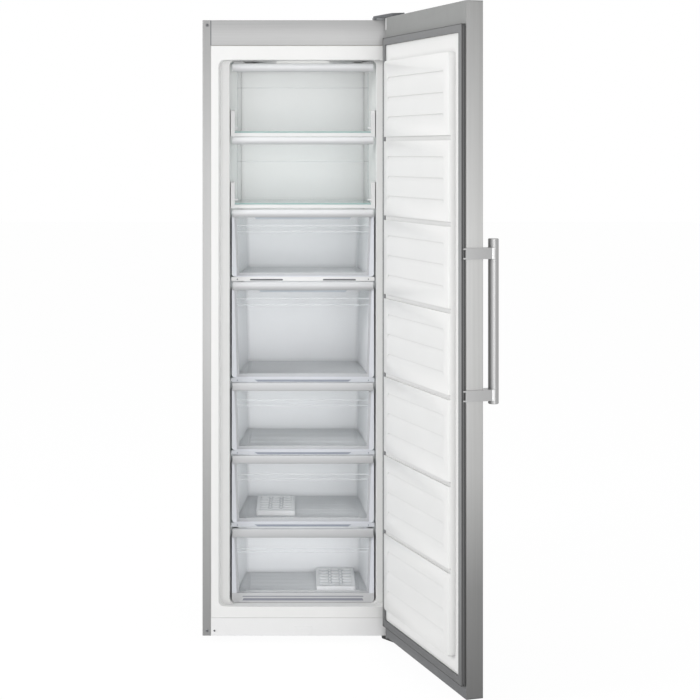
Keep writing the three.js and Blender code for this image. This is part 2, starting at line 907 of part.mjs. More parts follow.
// A basket's outline at one height, drawn in towards its back.
function basketPlan(drawer, inset) {
  const front = basketFrontHalf - inset;
  const back = basketRearHalf - inset;
  const corner = basketRadius - Math.min(inset, basketWall);
  const end = basketRear[placeOf(drawer)] - inset;
  return [
    ...outline([-front, basketFront + Math.min(inset, basketWall)]),
    ...outline([front, basketFront + Math.min(inset, basketWall)]),
    ...arc(back - corner, end - corner, corner, 0, 90),
    ...arc(-back + corner, end - corner, corner, 90, 180),
  ];
}

// Tub with tapered walls, a window behind the clear front and, in the lowest, a raised floor.
function basket(drawer) {
  const bottom = drawerBottom(drawer);
  const top = drawer.barBottom;
  const floor = bottom + basketFloorRise[placeOf(drawer)];
  const taper = (z) => basketFloorInset * (top - z) / (top - bottom);
  const form = (from, to, wall) => loft('z', [from, to].map((z) => ({
    at: z,
    points: basketPlan(drawer, taper(z) + wall),
  })));
  const tub = cut(form(bottom, top, 0), form(floor, top + 1, basketWall));
  const windowSill = floor + basketSill;
  const window = prism('y', outline(
    [-basketFrontHalf + basketStripFoot, windowSill],
    [basketFrontHalf - basketStripFoot, windowSill],
    [basketFrontHalf - basketStrip, top + 1],
    [-basketFrontHalf + basketStrip, top + 1],
  ), basketFront - 1, basketFront + basketFloorInset + basketWall);
  const hollow = floor - basketWall - basketFloorRise.usual;
  if (hollow < bottom) return cut(tub, window);
  return cut(tub, window, form(bottom - 1, hollow, basketWall));
}

// Raised trapezoid on a front's panel, below its grip bar.
function gripTab({ tabHalf, barBottom }) {
  const corners = outline(
    [-tabHalf, barBottom + 1],
    [-tabHalf + tabHeight, barBottom - tabHeight],
    [tabHalf - tabHeight, barBottom - tabHeight],
    [tabHalf, barBottom + 1],
  );
  return prism('y', corners, frontPanelY - tabProud, frontPanelY + 1);
}

// Clear front with a raised rim, and the grip bar along its top.
function drawerFront(drawer) {
  const bottom = drawerBottom(drawer);
  const top = (drawer.barBottom + drawer.top) / 2;
  const side = drawerHalfWidth;
  const face = (inset) => [
    ...arc(side - drawerCorner, bottom + drawerCorner, drawerCorner - inset, -90, 0),
    ...outline([side - inset, top], [-side + inset, top]),
    ...arc(-side + drawerCorner, bottom + drawerCorner, drawerCorner - inset, 180, 270),
  ];
  const panel = prism('y', face(0), frontPanelY, frontPanelY + frontPanel);
  const rim = cut(
    prism('y', face(0), frontPanelY - drawerRim, frontPanelY + 1),
    prism('y', face(drawerRim), frontPanelY - drawerRim - 1, frontPanelY + 2),
  );
  const front = join(panel, rim, gripBar(drawer.barBottom, drawer.top));
  if (drawer.tabHalf) return join(front, gripTab(drawer));
  if (drawer.floor > cavityFloor) return front;
  const faceY = frontPanelY - drawerRim;
  const frame = block(
    -side + drawerRim / 2,
    side - drawerRim / 2,
    faceY,
    frontPanelY + 1,
    bottom + drawerRim / 2,
    bottom + lowestFrame,
  ).intersect(prism('y', face(0), faceY - 1, frontPanelY + 2));
  const recesses = frameRecess.bands.map(([low, high]) => prism('y', outline(
    [-frameRecess.half, bottom + low],
    [frameRecess.half, bottom + low],
    [frameRecess.half - (high - low) / 2, bottom + high],
    [-frameRecess.half + (high - low) / 2, bottom + high],
  ), faceY - 1, faceY + frameRecess.depth));
  return cut(join(front, frame), ...recesses);
}

// Lidded ice tray: rows of slats in three columns.
function iceTray({ drawer, left, front }) {
  const bottom = drawerBottom(drawer) + basketFloorRise[placeOf(drawer)] + clearance;
  const top = bottom + trayHeight;
  const plan = (inset) => roundedRect(
    left + inset,
    left + trayWidth - inset,
    front + inset,
    front + trayDepth - inset,
    5,
    2,
  );
  const tray = loft('z', [
    { at: bottom, points: plan(5) },
    { at: top - 5, points: plan(0) },
    { at: top - 1.5, points: plan(0) },
    { at: top, points: plan(1.5) },
  ]);
  const pitchX = (trayWidth - 16) / trayColumns;
  const pitchY = (trayDepth - 24) / trayRows;
  const grooves = [];
  for (let column = 0; column < trayColumns; column++) {
    for (let row = 0; row < trayRows; row++) {
      const x = left + 8 + (column + 0.5) * pitchX;
      const y = front + 12 + (row + 0.5) * pitchY;
      grooves.push(block(x - pitchX / 2 + 3, x + pitchX / 2 - 3, y - 6, y + 6, top - 2, top + 1));
    }
  }
  return cut(tray, ...grooves);
}

// ---------- Cooling ----------
function evaporator() {
  const halfWidth = cavityRearHalf - evaporatorMargin;
  const front = coverFront + coverReturn + 4;
  const rear = cavityRear - 6;
  const pitch = 2 * halfWidth / (finCount - 1);
  const comb = [];
  for (let fin = 0; fin < finCount; fin++) {
    const x = -halfWidth + fin * pitch;
    comb.push([x - 0.8, rear - 6], [x - 0.8, front], [x + 0.8, front], [x + 0.8, rear - 6]);
  }
  comb[0][1] = rear;
  comb[comb.length - 1][1] = rear;
  const top = evaporatorBottom + evaporatorHeight;
  const fins = prism('z', outline(...comb), evaporatorBottom, top);
  const legs = [-1, 1].map((side) => block(
    side * (halfWidth - 6) - 6,
    side * (halfWidth - 6) + 6,
    rear - 8,
    rear,
    stepTop + clearance,
    evaporatorBottom + 10,
  ));
  const tubes = [0, 1, 2].map((row) => rod(
    'x',
    4,
    -halfWidth - 6,
    halfWidth + 6,
    [0, front + 18, evaporatorBottom + (row + 0.5) * evaporatorHeight / 3],
    6,
  ));
  return join(fins, ...legs, ...tubes);
}

const fanRear = fanFront + fanThickness;
const fanAxis = [0, 0, fanZ];

// Ring behind the back wall with the motor on three arms.
function fanShroud() {
  const motorFront = fanRear + 6;
  const ringFront = coverFront + coverSheet + clearance;
  const ring = cut(
    rod('y', fanRadius + 10, ringFront, motorFront + 4, fanAxis),
    rod('y', fanRadius + 4, ringFront - 1, motorFront + 5, fanAxis),
  );
  const arms = [90, 210, 330].map((angle) => {
    const arm = new THREE.BoxGeometry(fanRadius, 4, 8);
    arm.translate(fanRadius / 2 + 7, motorFront + 2, 0);
    arm.rotateY(THREE.MathUtils.degToRad(-angle));
    return solid(arm.translate(...fanAxis));
  });
  const motor = rod('y', 17, motorFront, cavityRear - 4, fanAxis);
  const shaft = rod('y', fanShaft, fanFront + 2, motorFront + 2, fanAxis, pinRound);
  return join(ring, ...arms, motor, shaft);
}

function fanRotor() {
  const hub = rod('y', fanHub, fanFront, fanRear, fanAxis);
  const blades = Array.from({ length: fanBlades }, (_, i) => {
    const blade = new THREE.BoxGeometry(fanRadius - fanHub + 3, 1.6, 26);
    blade.rotateX(THREE.MathUtils.degToRad(32));
    blade.translate((fanRadius + fanHub - 3) / 2, (fanFront + fanRear) / 2, 0);
    blade.rotateY(i * 2 * Math.PI / fanBlades);
    return solid(blade.translate(...fanAxis));
  });
  const bore = rod('y', fanShaft + runningClearance, fanFront - 1, fanRear + 1, fanAxis, pinRound);
  return cut(join(hub, ...blades), bore);
}

const floorTop = bodyBottom + frameSheet;
const compressorTop = floorTop + compressorHeight;

// Hermetic compressor: welded shell, terminal box, pipe stubs, mounting plate and rubber feet.
function compressor() {
  const r = compressorRadius;
  const base = floorTop + 11;
  const seam = base + compressorHeight / 3;
  const shell = turned([
    [0, base],
    [r * 0.6, base],
    [r * 0.9, base + 0.1 * compressorHeight],
    [r - 3, base + 0.22 * compressorHeight],
    [r - 3, seam - 5],
    [r, seam - 4],
    [r, seam + 4],
    [r - 3, seam + 5],
    [r - 3, compressorTop - 38],
    [r * 0.88, compressorTop - 16],
    [r * 0.6, compressorTop - 4],
    [r * 0.3, compressorTop],
    [0, compressorTop],
  ], compressorX, compressorY);
  const plate = prism('z', roundedRect(
    compressorX - r - 14,
    compressorX + r + 14,
    compressorY - r + 2,
    compressorY + r - 2,
    12,
  ), base - 3, base + 1);
  const feet = [-1, 1].flatMap((sx) => [-1, 1].map((sy) => rod(
    'z',
    9,
    floorTop + clearance,
    base - 2,
    [compressorX + sx * r, compressorY + sy * (r - 14), 0],
    12,
  )));
  const terminals = block(
    compressorX + r - 12,
    compressorX + r + 22,
    compressorY - 26,
    compressorY + 26,
    seam - 11,
    seam + 41,
  );
  const stubs = [-18, 0, 18].map((dy, i) => rod(
    'x',
    4,
    compressorX - r - 22,
    compressorX - r + 20,
    [0, compressorY + dy, seam + 20 + 9 * i],
    8,
  ));
  return join(shell, plate, ...feet, terminals, ...stubs);
}

function dripTray() {
  const bottom = compressorTop + clearance;
  const plan = (inset) => roundedRect(
    compressorX - 85 + inset,
    compressorX + 85 - inset,
    compartmentFront + frameSheet + 6 + inset,
    innerRear - 8 - inset,
    12,
  );
  const outer = loft('z', [
    { at: bottom, points: plan(8) },
    { at: bottom + 26, points: plan(0) },
  ]);
  const inner = loft('z', [
    { at: bottom + 2, points: plan(10) },
    { at: bottom + 27, points: plan(2) },
  ]);
  return cut(outer, inner);
}

function drainTube() {
  const [x, y] = drainPlace;
  const flangeTop = stepTop + clearance + 2;
  const bore = drainRadius - 2;
  const bottom = compressorTop + 20;
  return turned([
    [bore, bottom],
    [drainRadius, bottom],
    [drainRadius, stepTop + clearance],
    [drainRadius + 6, stepTop + clearance],
    [drainRadius + 6, flangeTop],
    [bore, flangeTop],
    [bore, bottom],
  ], x, y, pinRound);
}

function filterDrier() {
  const r = 10;
  const bottom = floorTop + 45;
  return turned([
    [0, bottom],
    [3, bottom],
    [3, bottom + 18],
    [r, bottom + 28],
    [r, bottom + 108],
    [3, bottom + 118],
    [3, bottom + 136],
    [0, bottom + 136],
  ], 10, compartmentFront + frameSheet + clearance + r, pinRound);
}

const boxLeft = 60;
const boxRight = 190;
const boxFront = compartmentFront + frameSheet + 46;
const boxRear = innerRear - 26;
const boxTop = floorTop + 90;

function electronicsBox() {
  const body = prism('z', roundedRect(
    boxLeft,
    boxRight,
    boxFront,
    boxRear,
    5,
  ), floorTop + clearance, boxTop - 14);
  const lid = prism('z', roundedRect(
    boxLeft - 2,
    boxRight + 2,
    boxFront - 2,
    boxRear + 2,
    7,
  ), boxTop - 16, boxTop);
  return join(body, lid);
}

// Three-blade mains inlet on the back of the electronics box.
function powerInlet() {
  const x = (boxLeft + boxRight) / 2;
  const z = floorTop + 38;
  const front = boxRear + clearance;
  const flangeBack = front + 3;
  const back = front + 18;
  const flange = prism('y', roundedRect(x - 25, x + 25, z - 15, z + 15, 4), front, flangeBack);
  const shroud = prism('y', roundedRect(x - 15, x + 15, z - 11, z + 11, 4), front, back);
  const socket = prism('y', roundedRect(x - 12, x + 12, z - 8, z + 8, 3), flangeBack, back + 1);
  const blades = [[-7, -2], [0, 3], [7, -2]].map(([dx, dz]) => block(
    x + dx - 1,
    x + dx + 1,
    flangeBack - 1,
    back - 3,
    z + dz - 2,
    z + dz + 2,
  ));
  return join(cut(join(flange, shroud), socket), ...blades);
}

// Half turn of tube between two runs of the condenser.
class HalfTurn extends THREE.Curve {
  constructor(centre, radius, up) {
    super();
    Object.assign(this, { centre, radius, up });
  }

  getPoint(t, target = new THREE.Vector3()) {
    const angle = Math.PI * t;
    return target.set(
      this.centre.x - this.radius * Math.cos(angle),
      this.centre.y,
      this.centre.z + this.up * this.radius * Math.sin(angle),
    );
  }
}

// Serpentine pressed against the back panel from inside, buried in the foam.
function condenserCoil() {
  const y = innerRear - steelSheet - clearance - coilTube;
  const sides = 6;
  const section = new THREE.Shape(arc(0, 0, coilTube, 0, 360 - 360 / sides, sides - 1));
  const firstX = -coilPitch * (coilRuns - 1) / 2;
  const pieces = [];
  for (let run = 0; run < coilRuns; run++) {
    const x = firstX + run * coilPitch;
    pieces.push(rod('z', coilTube, coilBottom - 0.5, coilTop + 0.5, [x, y, 0], sides));
    if (run === coilRuns - 1) continue;
    const up = run % 2 ? -1 : 1;
    const centre = new THREE.Vector3(x + coilPitch / 2, y, up > 0 ? coilTop : coilBottom);
    const bend = new HalfTurn(centre, coilPitch / 2, up);
    pieces.push(solid(new THREE.ExtrudeGeometry(section, { extrudePath: bend, steps: 5 })));
  }
  return join(...pieces);
}

// ---------- Hinges ----------
const bracketTopZ = doorTop + hingeOverDoor;
const hingeFront = hingeY - hingeFrontMargin;
const hingeLeft = half - hingeWidth;
const riserFront = 8;

// Joggled steel bracket on the cabinet's top, with the pin that hangs into the door.
function topHinge() {
  const low = bodyTop + clearance;
  const right = half - 6;
  const foot = block(hingeLeft, right, riserFront, hingeRear, low, low + hingePlate);
  const riserRear = riserFront + hingePlate;
  const riser = block(hingeLeft, right, riserFront, riserRear, low, bracketTopZ + hingePlate);
  const arm = prism('z', [
    ...outline([hingeLeft, riserRear], [hingeLeft, riserFront / 2]),
    ...arc(hingeX - 6, hingeFront + 9, 9, 200, 270),
    ...arc(right - 9, hingeFront + 9, 9, 270, 360),
    ...outline([right, riserRear]),
  ], bracketTopZ, bracketTopZ + hingePlate);
  const pin = rod(
    'z',
    hingePinRadius,
    bracketTopZ - hingePinLength,
    bracketTopZ + 1,
    [hingeX, hingeY, 0],
    pinRound,
  );
  return join(foot, riser, arm, pin);
}

// Dark cover over the top hinge, open below, its top rising towards the hinge side.
function topHingeCover() {
  const left = hingeLeft - 6;
  const right = half - 1;
  const front = hingeFront - 3;
  const rear = hingeRear + 4;
  const shape = (inset) => {
    const plan = outline(
      [left + inset, rear - inset],
      [left + inset, 1 + inset],
      [hingeX - 18 + inset, front + inset],
      [right - inset, front + inset],
      [right - inset, rear - inset],
    );
    const lowest = inset > 0 ? bodyTop - 5 : bodyTop + clearance;
    const elevation = outline(
      [left - 1, lowest],
      [right + 1, lowest],
      [right + 1, hingeCoverTop - inset],
      [hingeX - 24, hingeCoverTop - 1.5 - inset],
      [left - 1, hingeCoverTop - 5.5 - inset],
    );
    return prism('z', plan, bodyTop - 6, hingeCoverTop + 1)
      .intersect(prism('y', elevation, front - 1, rear + 1));
  };
  const overDoor = block(
    left - 1,
    right + 1,
    front - 1,
    -doorGap / 2,
    bodyTop - 1,
    doorTop + 1,
  );
  return cut(shape(0), shape(hingeCoverWall), overDoor);
}

function bottomHinge() {
  const top = bodyBottom - clearance;
  const left = footX - 22;
  const right = half - 2;
  const rear = footY + footPadRadius;
  const plate = prism('z', [
    ...outline([left, rear], [left, -12]),
    ...arc(hingeX - 4, hingeFront + 9, 9, 200, 270),
    ...arc(right - 9, hingeFront + 9, 9, 270, 360),
    ...outline([right, rear]),
  ], top - bottomPlate, top);
  const axis = [hingeX, hingeY, 0];
  const boss = rod('z', 11, top - 1, doorBottom - clearance, axis, pinRound);
  const pin = rod('z', hingePinRadius, top - 1, doorBottom + hingePinLength, axis, pinRound);
  const stud = rod(
    'z',
    footStudRadius + runningClearance,
    top - bottomPlate - 1,
    top + 1,
    [footX, footY, 0],
    pinRound,
  );
  return cut(join(plate, boss, pin), stud);
}

// ---------- Door, drawn closed with the hinge pin at X = 0 and Y = 0 ----------
const door = new THREE.Group();
door.position.set(hingeX, hingeY, 0);
door.rotation.z = THREE.MathUtils.degToRad(doorOpenAngle);
cabinet.add(door);

const free = hingeInset - bodyWidth;      // X of the free side
const near = hingeInset;                  // X of the hinge side
const outerFace = -hingeDepth;
const innerEdge = doorSkinDepth - hingeDepth;
const capInner = capThickness + clearance;

// Steel skin: outer face, two sides and narrow hems that the liner lies between.
function doorSkin() {
  const inset = steelSheet;
  const points = [
    ...outline([free, innerEdge]),
    ...arc(free + bendRadius, outerFace + bendRadius, bendRadius, 180, 270),
    ...arc(near - bendRadius, outerFace + bendRadius, bendRadius, 270, 360),
    ...outline(
      [near, innerEdge],
      [near - doorHem, innerEdge],
      [near - doorHem, innerEdge - inset],
      [near - inset, innerEdge - inset],
    ),
    ...arc(near - bendRadius, outerFace + bendRadius, bendRadius - inset, 360, 270),
    ...arc(free + bendRadius, outerFace + bendRadius, bendRadius - inset, 270, 180),
    ...outline(
      [free + inset, innerEdge - inset],
      [free + doorHem, innerEdge - inset],
      [free + doorHem, innerEdge],
    ),
  ];
  const bottom = doorBottom + capInner;
  const top = doorTop - capInner;
  const skin = prism('z', points, bottom, top);
  const hemCut = (from, to) => block(
    free + inset,
    near - inset,
    innerEdge - inset - 1,
    innerEdge + 1,
    from,
    to,
  );
  return cut(skin, hemCut(bottom - 1, doorLinerBottom), hemCut(doorLinerTop, top + 1));
}

// End cap: the door's end plate, the strip beside the liner and the boss of the hinge pin.
function doorCap(end) {
  const place = (z) => (end > 0 ? doorTop - z : doorBottom + z);
  const span = (from, to) => [place(from), place(to)].sort((p, q) => p - q);
  const reach = end > 0 ? doorTop - doorLinerTop : doorLinerBottom - doorBottom;
  const inset = steelSheet + clearance;
  const plate = prism(
    'z',
    roundedRect(free, near, outerFace, innerEdge, bendRadius),
    ...span(0, capThickness),
  );
  const strip = block(
    free + inset,
    near - inset,
    innerEdge - linerBack,
    innerEdge,
    ...span(capThickness / 2, reach - clearance),
  );
  const pin = [0, 0, 0];
  const bossSpan = span(capThickness / 2, hingePinLength + 4);
  const boreSpan = span(-1, hingePinLength + 1);
  const boss = rod('z', hingePinRadius + 4, ...bossSpan, pin, pinRound);
  const bore = rod('z', hingePinRadius + runningClearance, ...boreSpan, pin, pinRound);
  const closer = block(near - 12, near - 1, innerEdge - 12, innerEdge, ...span(-4.6, 1));
  return end > 0 ? cut(join(plate, strip, boss), bore) : cut(join(plate, strip, boss, closer), bore);
}

const linerLeft = free + doorHem + clearance;
const linerRight = near - doorHem - clearance;
const sectionHeight = (fieldTop - fieldBottom) / fieldSections;

// A groove tilted so that it is deepest along its upper edge.
function shallowGroove(z) {
  const tilt = Math.asin(shallowGrooveDepth / shallowGrooveHeight);
  const stadium = roundedRect(
    free + shallowGrooveMargin,
    near - shallowGrooveMargin,
    -shallowGrooveHeight / 2,
    shallowGrooveHeight / 2,
    shallowGrooveHeight / 2 - 0.01,
    2,
  );
  const tool = prismGeometry('y', stadium, 0, 8);
  tool.rotateX(tilt);
  return solid(tool.translate(0, innerEdge + fieldHeight - shallowGrooveDepth / 2, z));
}

const linerBack = 2.5;                    // the liner's border lies this thick under the seal
const flangeInset = gasketInset + gasketWidth + 0.5;
const flangeEnd = gasketWidth + 3.5;

// A hollow behind the liner, or the foam that fills it.
function pocket(margin, from, to, height, gap) {
  return prism('y', roundedRect(
    free + margin + gap,
    near - margin - gap,
    from + gap,
    to - gap,
    4,
  ), innerEdge - linerBack - 1, innerEdge + height - gap);
}

const flangePocket = (gap) => pocket(
  flangeInset + linerSheet,
  doorLinerBottom + flangeEnd + linerSheet,
  doorLinerTop - flangeEnd - linerSheet,
  doorLinerFlange - linerSheet,
  gap,
);
const fieldPocket = (gap) => pocket(
  fieldMargin.side + 6,
  fieldBottom + 6,
  fieldTop - 6,
  fieldHollow,
  gap,
);

// Ribbed plastic liner with its raised field.
function doorLiner() {
  const back = innerEdge - linerBack;
  const border = block(
    linerLeft,
    linerRight,
    back,
    innerEdge,
    doorLinerBottom + clearance,
    doorLinerTop - clearance,
  );
  const flange = prism('y', roundedRect(
    free + flangeInset,
    near - flangeInset,
    doorLinerBottom + flangeEnd,
    doorLinerTop - flangeEnd,
    6,
  ), back, innerEdge + doorLinerFlange);
  const fieldRing = (height, inset) => ({
    at: innerEdge + height,
    points: roundedRect(
      free + fieldMargin.side + inset,
      near - fieldMargin.side - inset,
      fieldBottom + inset,
      fieldTop - inset,
      fieldRadius - inset,
    ),
  });
  const field = loft('y', [
    fieldRing(0, 0),
    fieldRing(fieldHeight - 2.5, 1.5),
    fieldRing(fieldHeight - 0.8, 2.2),
    fieldRing(fieldHeight, 3.6),
  ]);
  const tools = [];
  for (let section = 0; section < fieldSections; section++) {
    const base = fieldBottom + section * sectionHeight;
    if (section > 0) {
      tools.push(block(
        free + fieldMargin.side - 1,
        near - fieldMargin.side + 1,
        innerEdge + fieldHeight - wideGrooveDepth,
        innerEdge + fieldHeight + 1,
        base - wideGrooveHeight / 2,
        base + wideGrooveHeight / 2,
      ));
    }
    for (let groove = 1; groove <= shallowGroovesPerSection; groove++) {
      const z = base + groove * sectionHeight / (shallowGroovesPerSection + 1);
      tools.push(shallowGroove(z));
    }
  }
  return cut(join(border, flange, field), flangePocket(0), fieldPocket(0), ...tools);
}

// Foam between skin and liner, raised into the pockets behind the flange and the field.
function doorFoam() {
  const inset = steelSheet + clearance;
  const top = innerEdge - linerBack - clearance;
  const slab = prism('z', [
    ...outline([near - inset, top], [free + inset, top]),
    ...arc(free + bendRadius, outerFace + bendRadius, bendRadius - inset, 180, 270),
    ...arc(near - bendRadius, outerFace + bendRadius, bendRadius - inset, 270, 360),
  ], doorBottom + capInner, doorTop - capInner);
  const bosses = [
    [doorBottom, doorBottom + hingePinLength + 4 + clearance],
    [doorTop - hingePinLength - 4 - clearance, doorTop],
  ].map(([from, to]) => rod('z', hingePinRadius + 4 + 2 * clearance, from, to, [0, 0, 0], pinRound));
  return cut(join(slab, flangePocket(clearance), fieldPocket(clearance)), ...bosses);
}

// Magnetic seal: a frame with a rounded outer lip that clears the cabinet as the door turns.
function doorGasket() {
  const face = doorGap - clearance;
  const ring = (height, inset) => ({
    at: innerEdge + height,
    points: roundedRect(
      free + gasketInset + inset,
      near - gasketInset - inset,
      doorLinerBottom + inset,
      doorLinerTop - inset,
      8,
    ),
  });
  const outer = loft('y', [
    ring(clearance, 0),
    ring(face - 2.7, 0),
    ring(face - 1.5, 3),
    ring(face - 0.4, 8),
    ring(face, 12),
  ]);
  const inner = prism('y', roundedRect(
    free + gasketInset + gasketWidth,
    near - gasketInset - gasketWidth,
    doorLinerBottom + gasketWidth + 3,
    doorLinerTop - gasketWidth - 3,
    6,
  ), innerEdge - 1, innerEdge + doorGap + 1);
  return cut(outer, inner);
}

const handleX = free + handleInset;
const handleY = outerFace - handleStandoff;

function handleBar() {
  const r = handleRadius;
  return turned([
    [0, handleBottom],
    [r - 1.5, handleBottom],
    [r, handleBottom + 1.5],
    [r, handleTop - 1.5],
    [r - 1.5, handleTop],
    [0, handleTop],
  ], handleX, handleY, handleRound);
}

// Handle bracket: plate on the door's free side, saddle round the bar, and two prongs inside.
function handleBracket(bottom) {
  const plateOuter = free - clearance - bracketPlate;
  const end = handleY + 3.6;
  const face = outerFace - clearance;
  const lip = innerEdge + plateLip;
  const shape = [
    ...outline([free - clearance, lip], [plateOuter, lip]),
    ...arc(plateOuter + 4, end + 4, 4, 180, 270),
    ...outline(
      [free + bracketReach, end],
      [free + bracketReach, face],
      [free - clearance, face],
    ),
  ];
  const arm = prism('z', shape, bottom, bottom + bracketHeight);
  const saddle = rod(
    'z',
    handleRadius + clearance,
    bottom - 1,
    bottom + bracketHeight + 1,
    [handleX, handleY, 0],
    handleRound,
  );
  const prongs = [bottom, bottom + bracketHeight - prongHeight].map((z) => block(
    plateOuter,
    free - clearance,
    lip - 1,
    lip + prongLength,
    z,
    z + prongHeight,
  ));
  return join(cut(arm, saddle), ...prongs);
}

// ---------- Assembly ----------
addPiece('left_side_panel', sidePanel(-1), 'sideGrey');
addPiece('right_side_panel', sidePanel(1), 'sideGrey');
addPiece('top_panel', topPanel(), 'sideGrey');
addPiece('top_front_rail', topFrontRail(), 'steel');
addPiece('back_panel', backPanel(), 'zinc');
addPiece('inner_liner', innerLiner(), 'liner');
addPiece('cabinet_foam', cabinetFoam(), 'foam');
addPiece('plinth_cover', plinthCover(), 'white');
addPiece('base_frame', baseFrame(), 'zinc');
addPiece('evaporator_cover', evaporatorCover(), 'liner');
addPiece('ceiling_duct', ceilingDuct(), 'white');
addPiece('light_cover', lightCover(), 'clear');
shelfTops.forEach((top, i) => {
  addPiece(`glass_shelf_${i + 1}`, glassShelf(top, i < flaps.length), 'glass');
});
flaps.forEach(({ floor }, i) => addPiece(`flap_carrier_${i + 1}`, flapCarrier(floor), 'white'));
addPiece('evaporator', evaporator(), 'aluminium');
addPiece('fan_shroud', fanShroud(), 'darkPlastic');
addPiece('fan_rotor', fanRotor(), 'black');
addPiece('compressor', compressor(), 'black');
addPiece('drip_tray', dripTray(), 'darkPlastic');
addPiece('drain_tube', drainTube(), 'white');
addPiece('filter_drier', filterDrier(), 'copper');
addPiece('electronics_box', electronicsBox(), 'white');
addPiece('power_inlet', powerInlet(), 'black');
addPiece('condenser_coil', condenserCoil(), 'copper');
addPiece('top_hinge', topHinge(), 'zinc');
addPiece('top_hinge_cover', topHingeCover(), 'darkPlastic');
addPiece('bottom_hinge', bottomHinge(), 'black');
addPiece('left_front_foot', frontFoot(-1), 'black');
addPiece('right_front_foot', frontFoot(1), 'black');
addPiece('left_rear_roller', rearRoller(-1), 'black');
addPiece('right_rear_roller', rearRoller(1), 'black');

addPiece('door_skin', doorSkin(), 'steel', door);
addPiece('door_top_cap', doorCap(1), 'sideGrey', door);
addPiece('door_bottom_cap', doorCap(-1), 'sideGrey', door);
addPiece('door_foam', doorFoam(), 'foam', door);
addPiece('door_liner', doorLiner(), 'liner', door);
addPiece('door_gasket', doorGasket(), 'gasket', door);
addPiece('handle_bar', handleBar(), 'steel', door);
const lowerBracket = handleBottom + bracketMargin.bottom;
const upperBracket = handleTop - bracketMargin.top - bracketHeight;
addPiece('lower_handle_bracket', handleBracket(lowerBracket), 'steel', door);
addPiece('upper_handle_bracket', handleBracket(upperBracket), 'steel', door);

flaps.forEach((place, i) => addPiece(`flap_${i + 1}`, flap(place), 'clear'));
drawers.forEach((place, i) => {
  addPiece(`drawer_${i + 1}_basket`, basket(place), 'white');
  addPiece(`drawer_${i + 1}_front`, drawerFront(place), 'clear');
});
trayPlaces.forEach((place) => addPiece(place.name, iceTray(place), 'trim'));

// Origin: the middle of the underside of the bounding box, door standing open.
freezer.updateMatrixWorld(true);
const bounds = new THREE.Box3().setFromObject(freezer);
const middle = bounds.getCenter(new THREE.Vector3());
cabinet.position.set(-middle.x, -middle.y, -bounds.min.z);

export default freezer;
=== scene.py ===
import json
import math

import bmesh
import bpy
from mathutils import Matrix, Vector


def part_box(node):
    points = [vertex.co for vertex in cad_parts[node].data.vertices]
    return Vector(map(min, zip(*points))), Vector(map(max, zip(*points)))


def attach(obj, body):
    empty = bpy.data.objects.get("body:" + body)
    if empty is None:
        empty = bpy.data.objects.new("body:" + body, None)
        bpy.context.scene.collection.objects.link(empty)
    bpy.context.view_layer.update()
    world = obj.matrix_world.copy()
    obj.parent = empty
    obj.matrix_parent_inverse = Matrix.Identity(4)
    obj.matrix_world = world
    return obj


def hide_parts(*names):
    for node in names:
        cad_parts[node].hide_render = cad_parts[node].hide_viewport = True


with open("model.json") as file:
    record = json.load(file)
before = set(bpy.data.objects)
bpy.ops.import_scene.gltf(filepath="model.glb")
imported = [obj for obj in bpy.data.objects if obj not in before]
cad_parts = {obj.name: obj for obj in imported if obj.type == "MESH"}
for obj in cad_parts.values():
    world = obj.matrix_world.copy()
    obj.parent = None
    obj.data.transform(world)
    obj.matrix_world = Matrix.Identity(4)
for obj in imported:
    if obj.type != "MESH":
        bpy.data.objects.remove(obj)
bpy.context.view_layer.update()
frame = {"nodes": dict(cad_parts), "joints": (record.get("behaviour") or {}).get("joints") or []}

MM = 0.001
WHOLE_HEIGHT = 1.86         # metres, up to which the painted shade by height runs

# ---------- Places, read from the frame ----------
# The cabinet's own coordinates are millimetres: X = 0 in its middle, Y = 0 at its front, Z = 0 on the floor.
left_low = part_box("left_side_panel")[0]
right_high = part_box("right_side_panel")[1]
CABINET = Matrix.Translation(((left_low.x + right_high.x) / 2, left_low.y, 0)) @ Matrix.Scale(MM, 4)

door_joint = next(j for j in frame["joints"] if j["name"] == "door_hinge")
DOOR_OPEN = math.radians(-door_joint["range_deg"][0])
# The door's own coordinates are as it hangs closed, with the hinge pin at X = 0 and Y = 0.
DOOR = (Matrix.Translation((door_joint["pos_m"][0], door_joint["pos_m"][1], 0))
        @ Matrix.Rotation(DOOR_OPEN, 4, "Z") @ Matrix.Scale(MM, 4))


def span(node, space=CABINET):
    """A CAD node's lowest and highest corners in a space's millimetres."""
    inverse = space.inverted()
    points = [inverse @ v.co for v in frame["nodes"][node].data.vertices]
    low = Vector(min(p[i] for p in points) for i in range(3))
    high = Vector(max(p[i] for p in points) for i in range(3))
    return low, high


# ---------- Camera ----------
PHOTO_SIDE = 700
SENSOR = 36.0
FOCAL_PIXELS = 1653
HORIZON_PIXEL = Vector((298, 153))       # where the level view axis meets the photograph
CAMERA_PLACE = Vector((-14.7, -4893, 1448.7))


def make_camera():
    data = bpy.data.cameras.new("camera")
    data.sensor_width = SENSOR
    data.lens = SENSOR * FOCAL_PIXELS / PHOTO_SIDE
    data.shift_x = (PHOTO_SIDE / 2 - HORIZON_PIXEL.x) / PHOTO_SIDE
    data.shift_y = (HORIZON_PIXEL.y - PHOTO_SIDE / 2) / PHOTO_SIDE
    camera = bpy.data.objects.new("camera", data)
    camera.location = CABINET @ CAMERA_PLACE
    camera.rotation_euler = (math.pi / 2, 0, 0)
    bpy.context.scene.collection.objects.link(camera)
    bpy.context.scene.camera = camera


# ---------- Material helpers ----------
def srgb(*levels):
    """A colour given as 0 to 255 sRGB levels, in the linear values that the shaders take."""
    def linear(level):
        share = level / 255
        return share / 12.92 if share <= 0.04045 else ((share + 0.055) / 1.055) ** 2.4
    red, green, blue = levels if len(levels) == 3 else levels * 3
    return (linear(red), linear(green), linear(blue), 1.0)


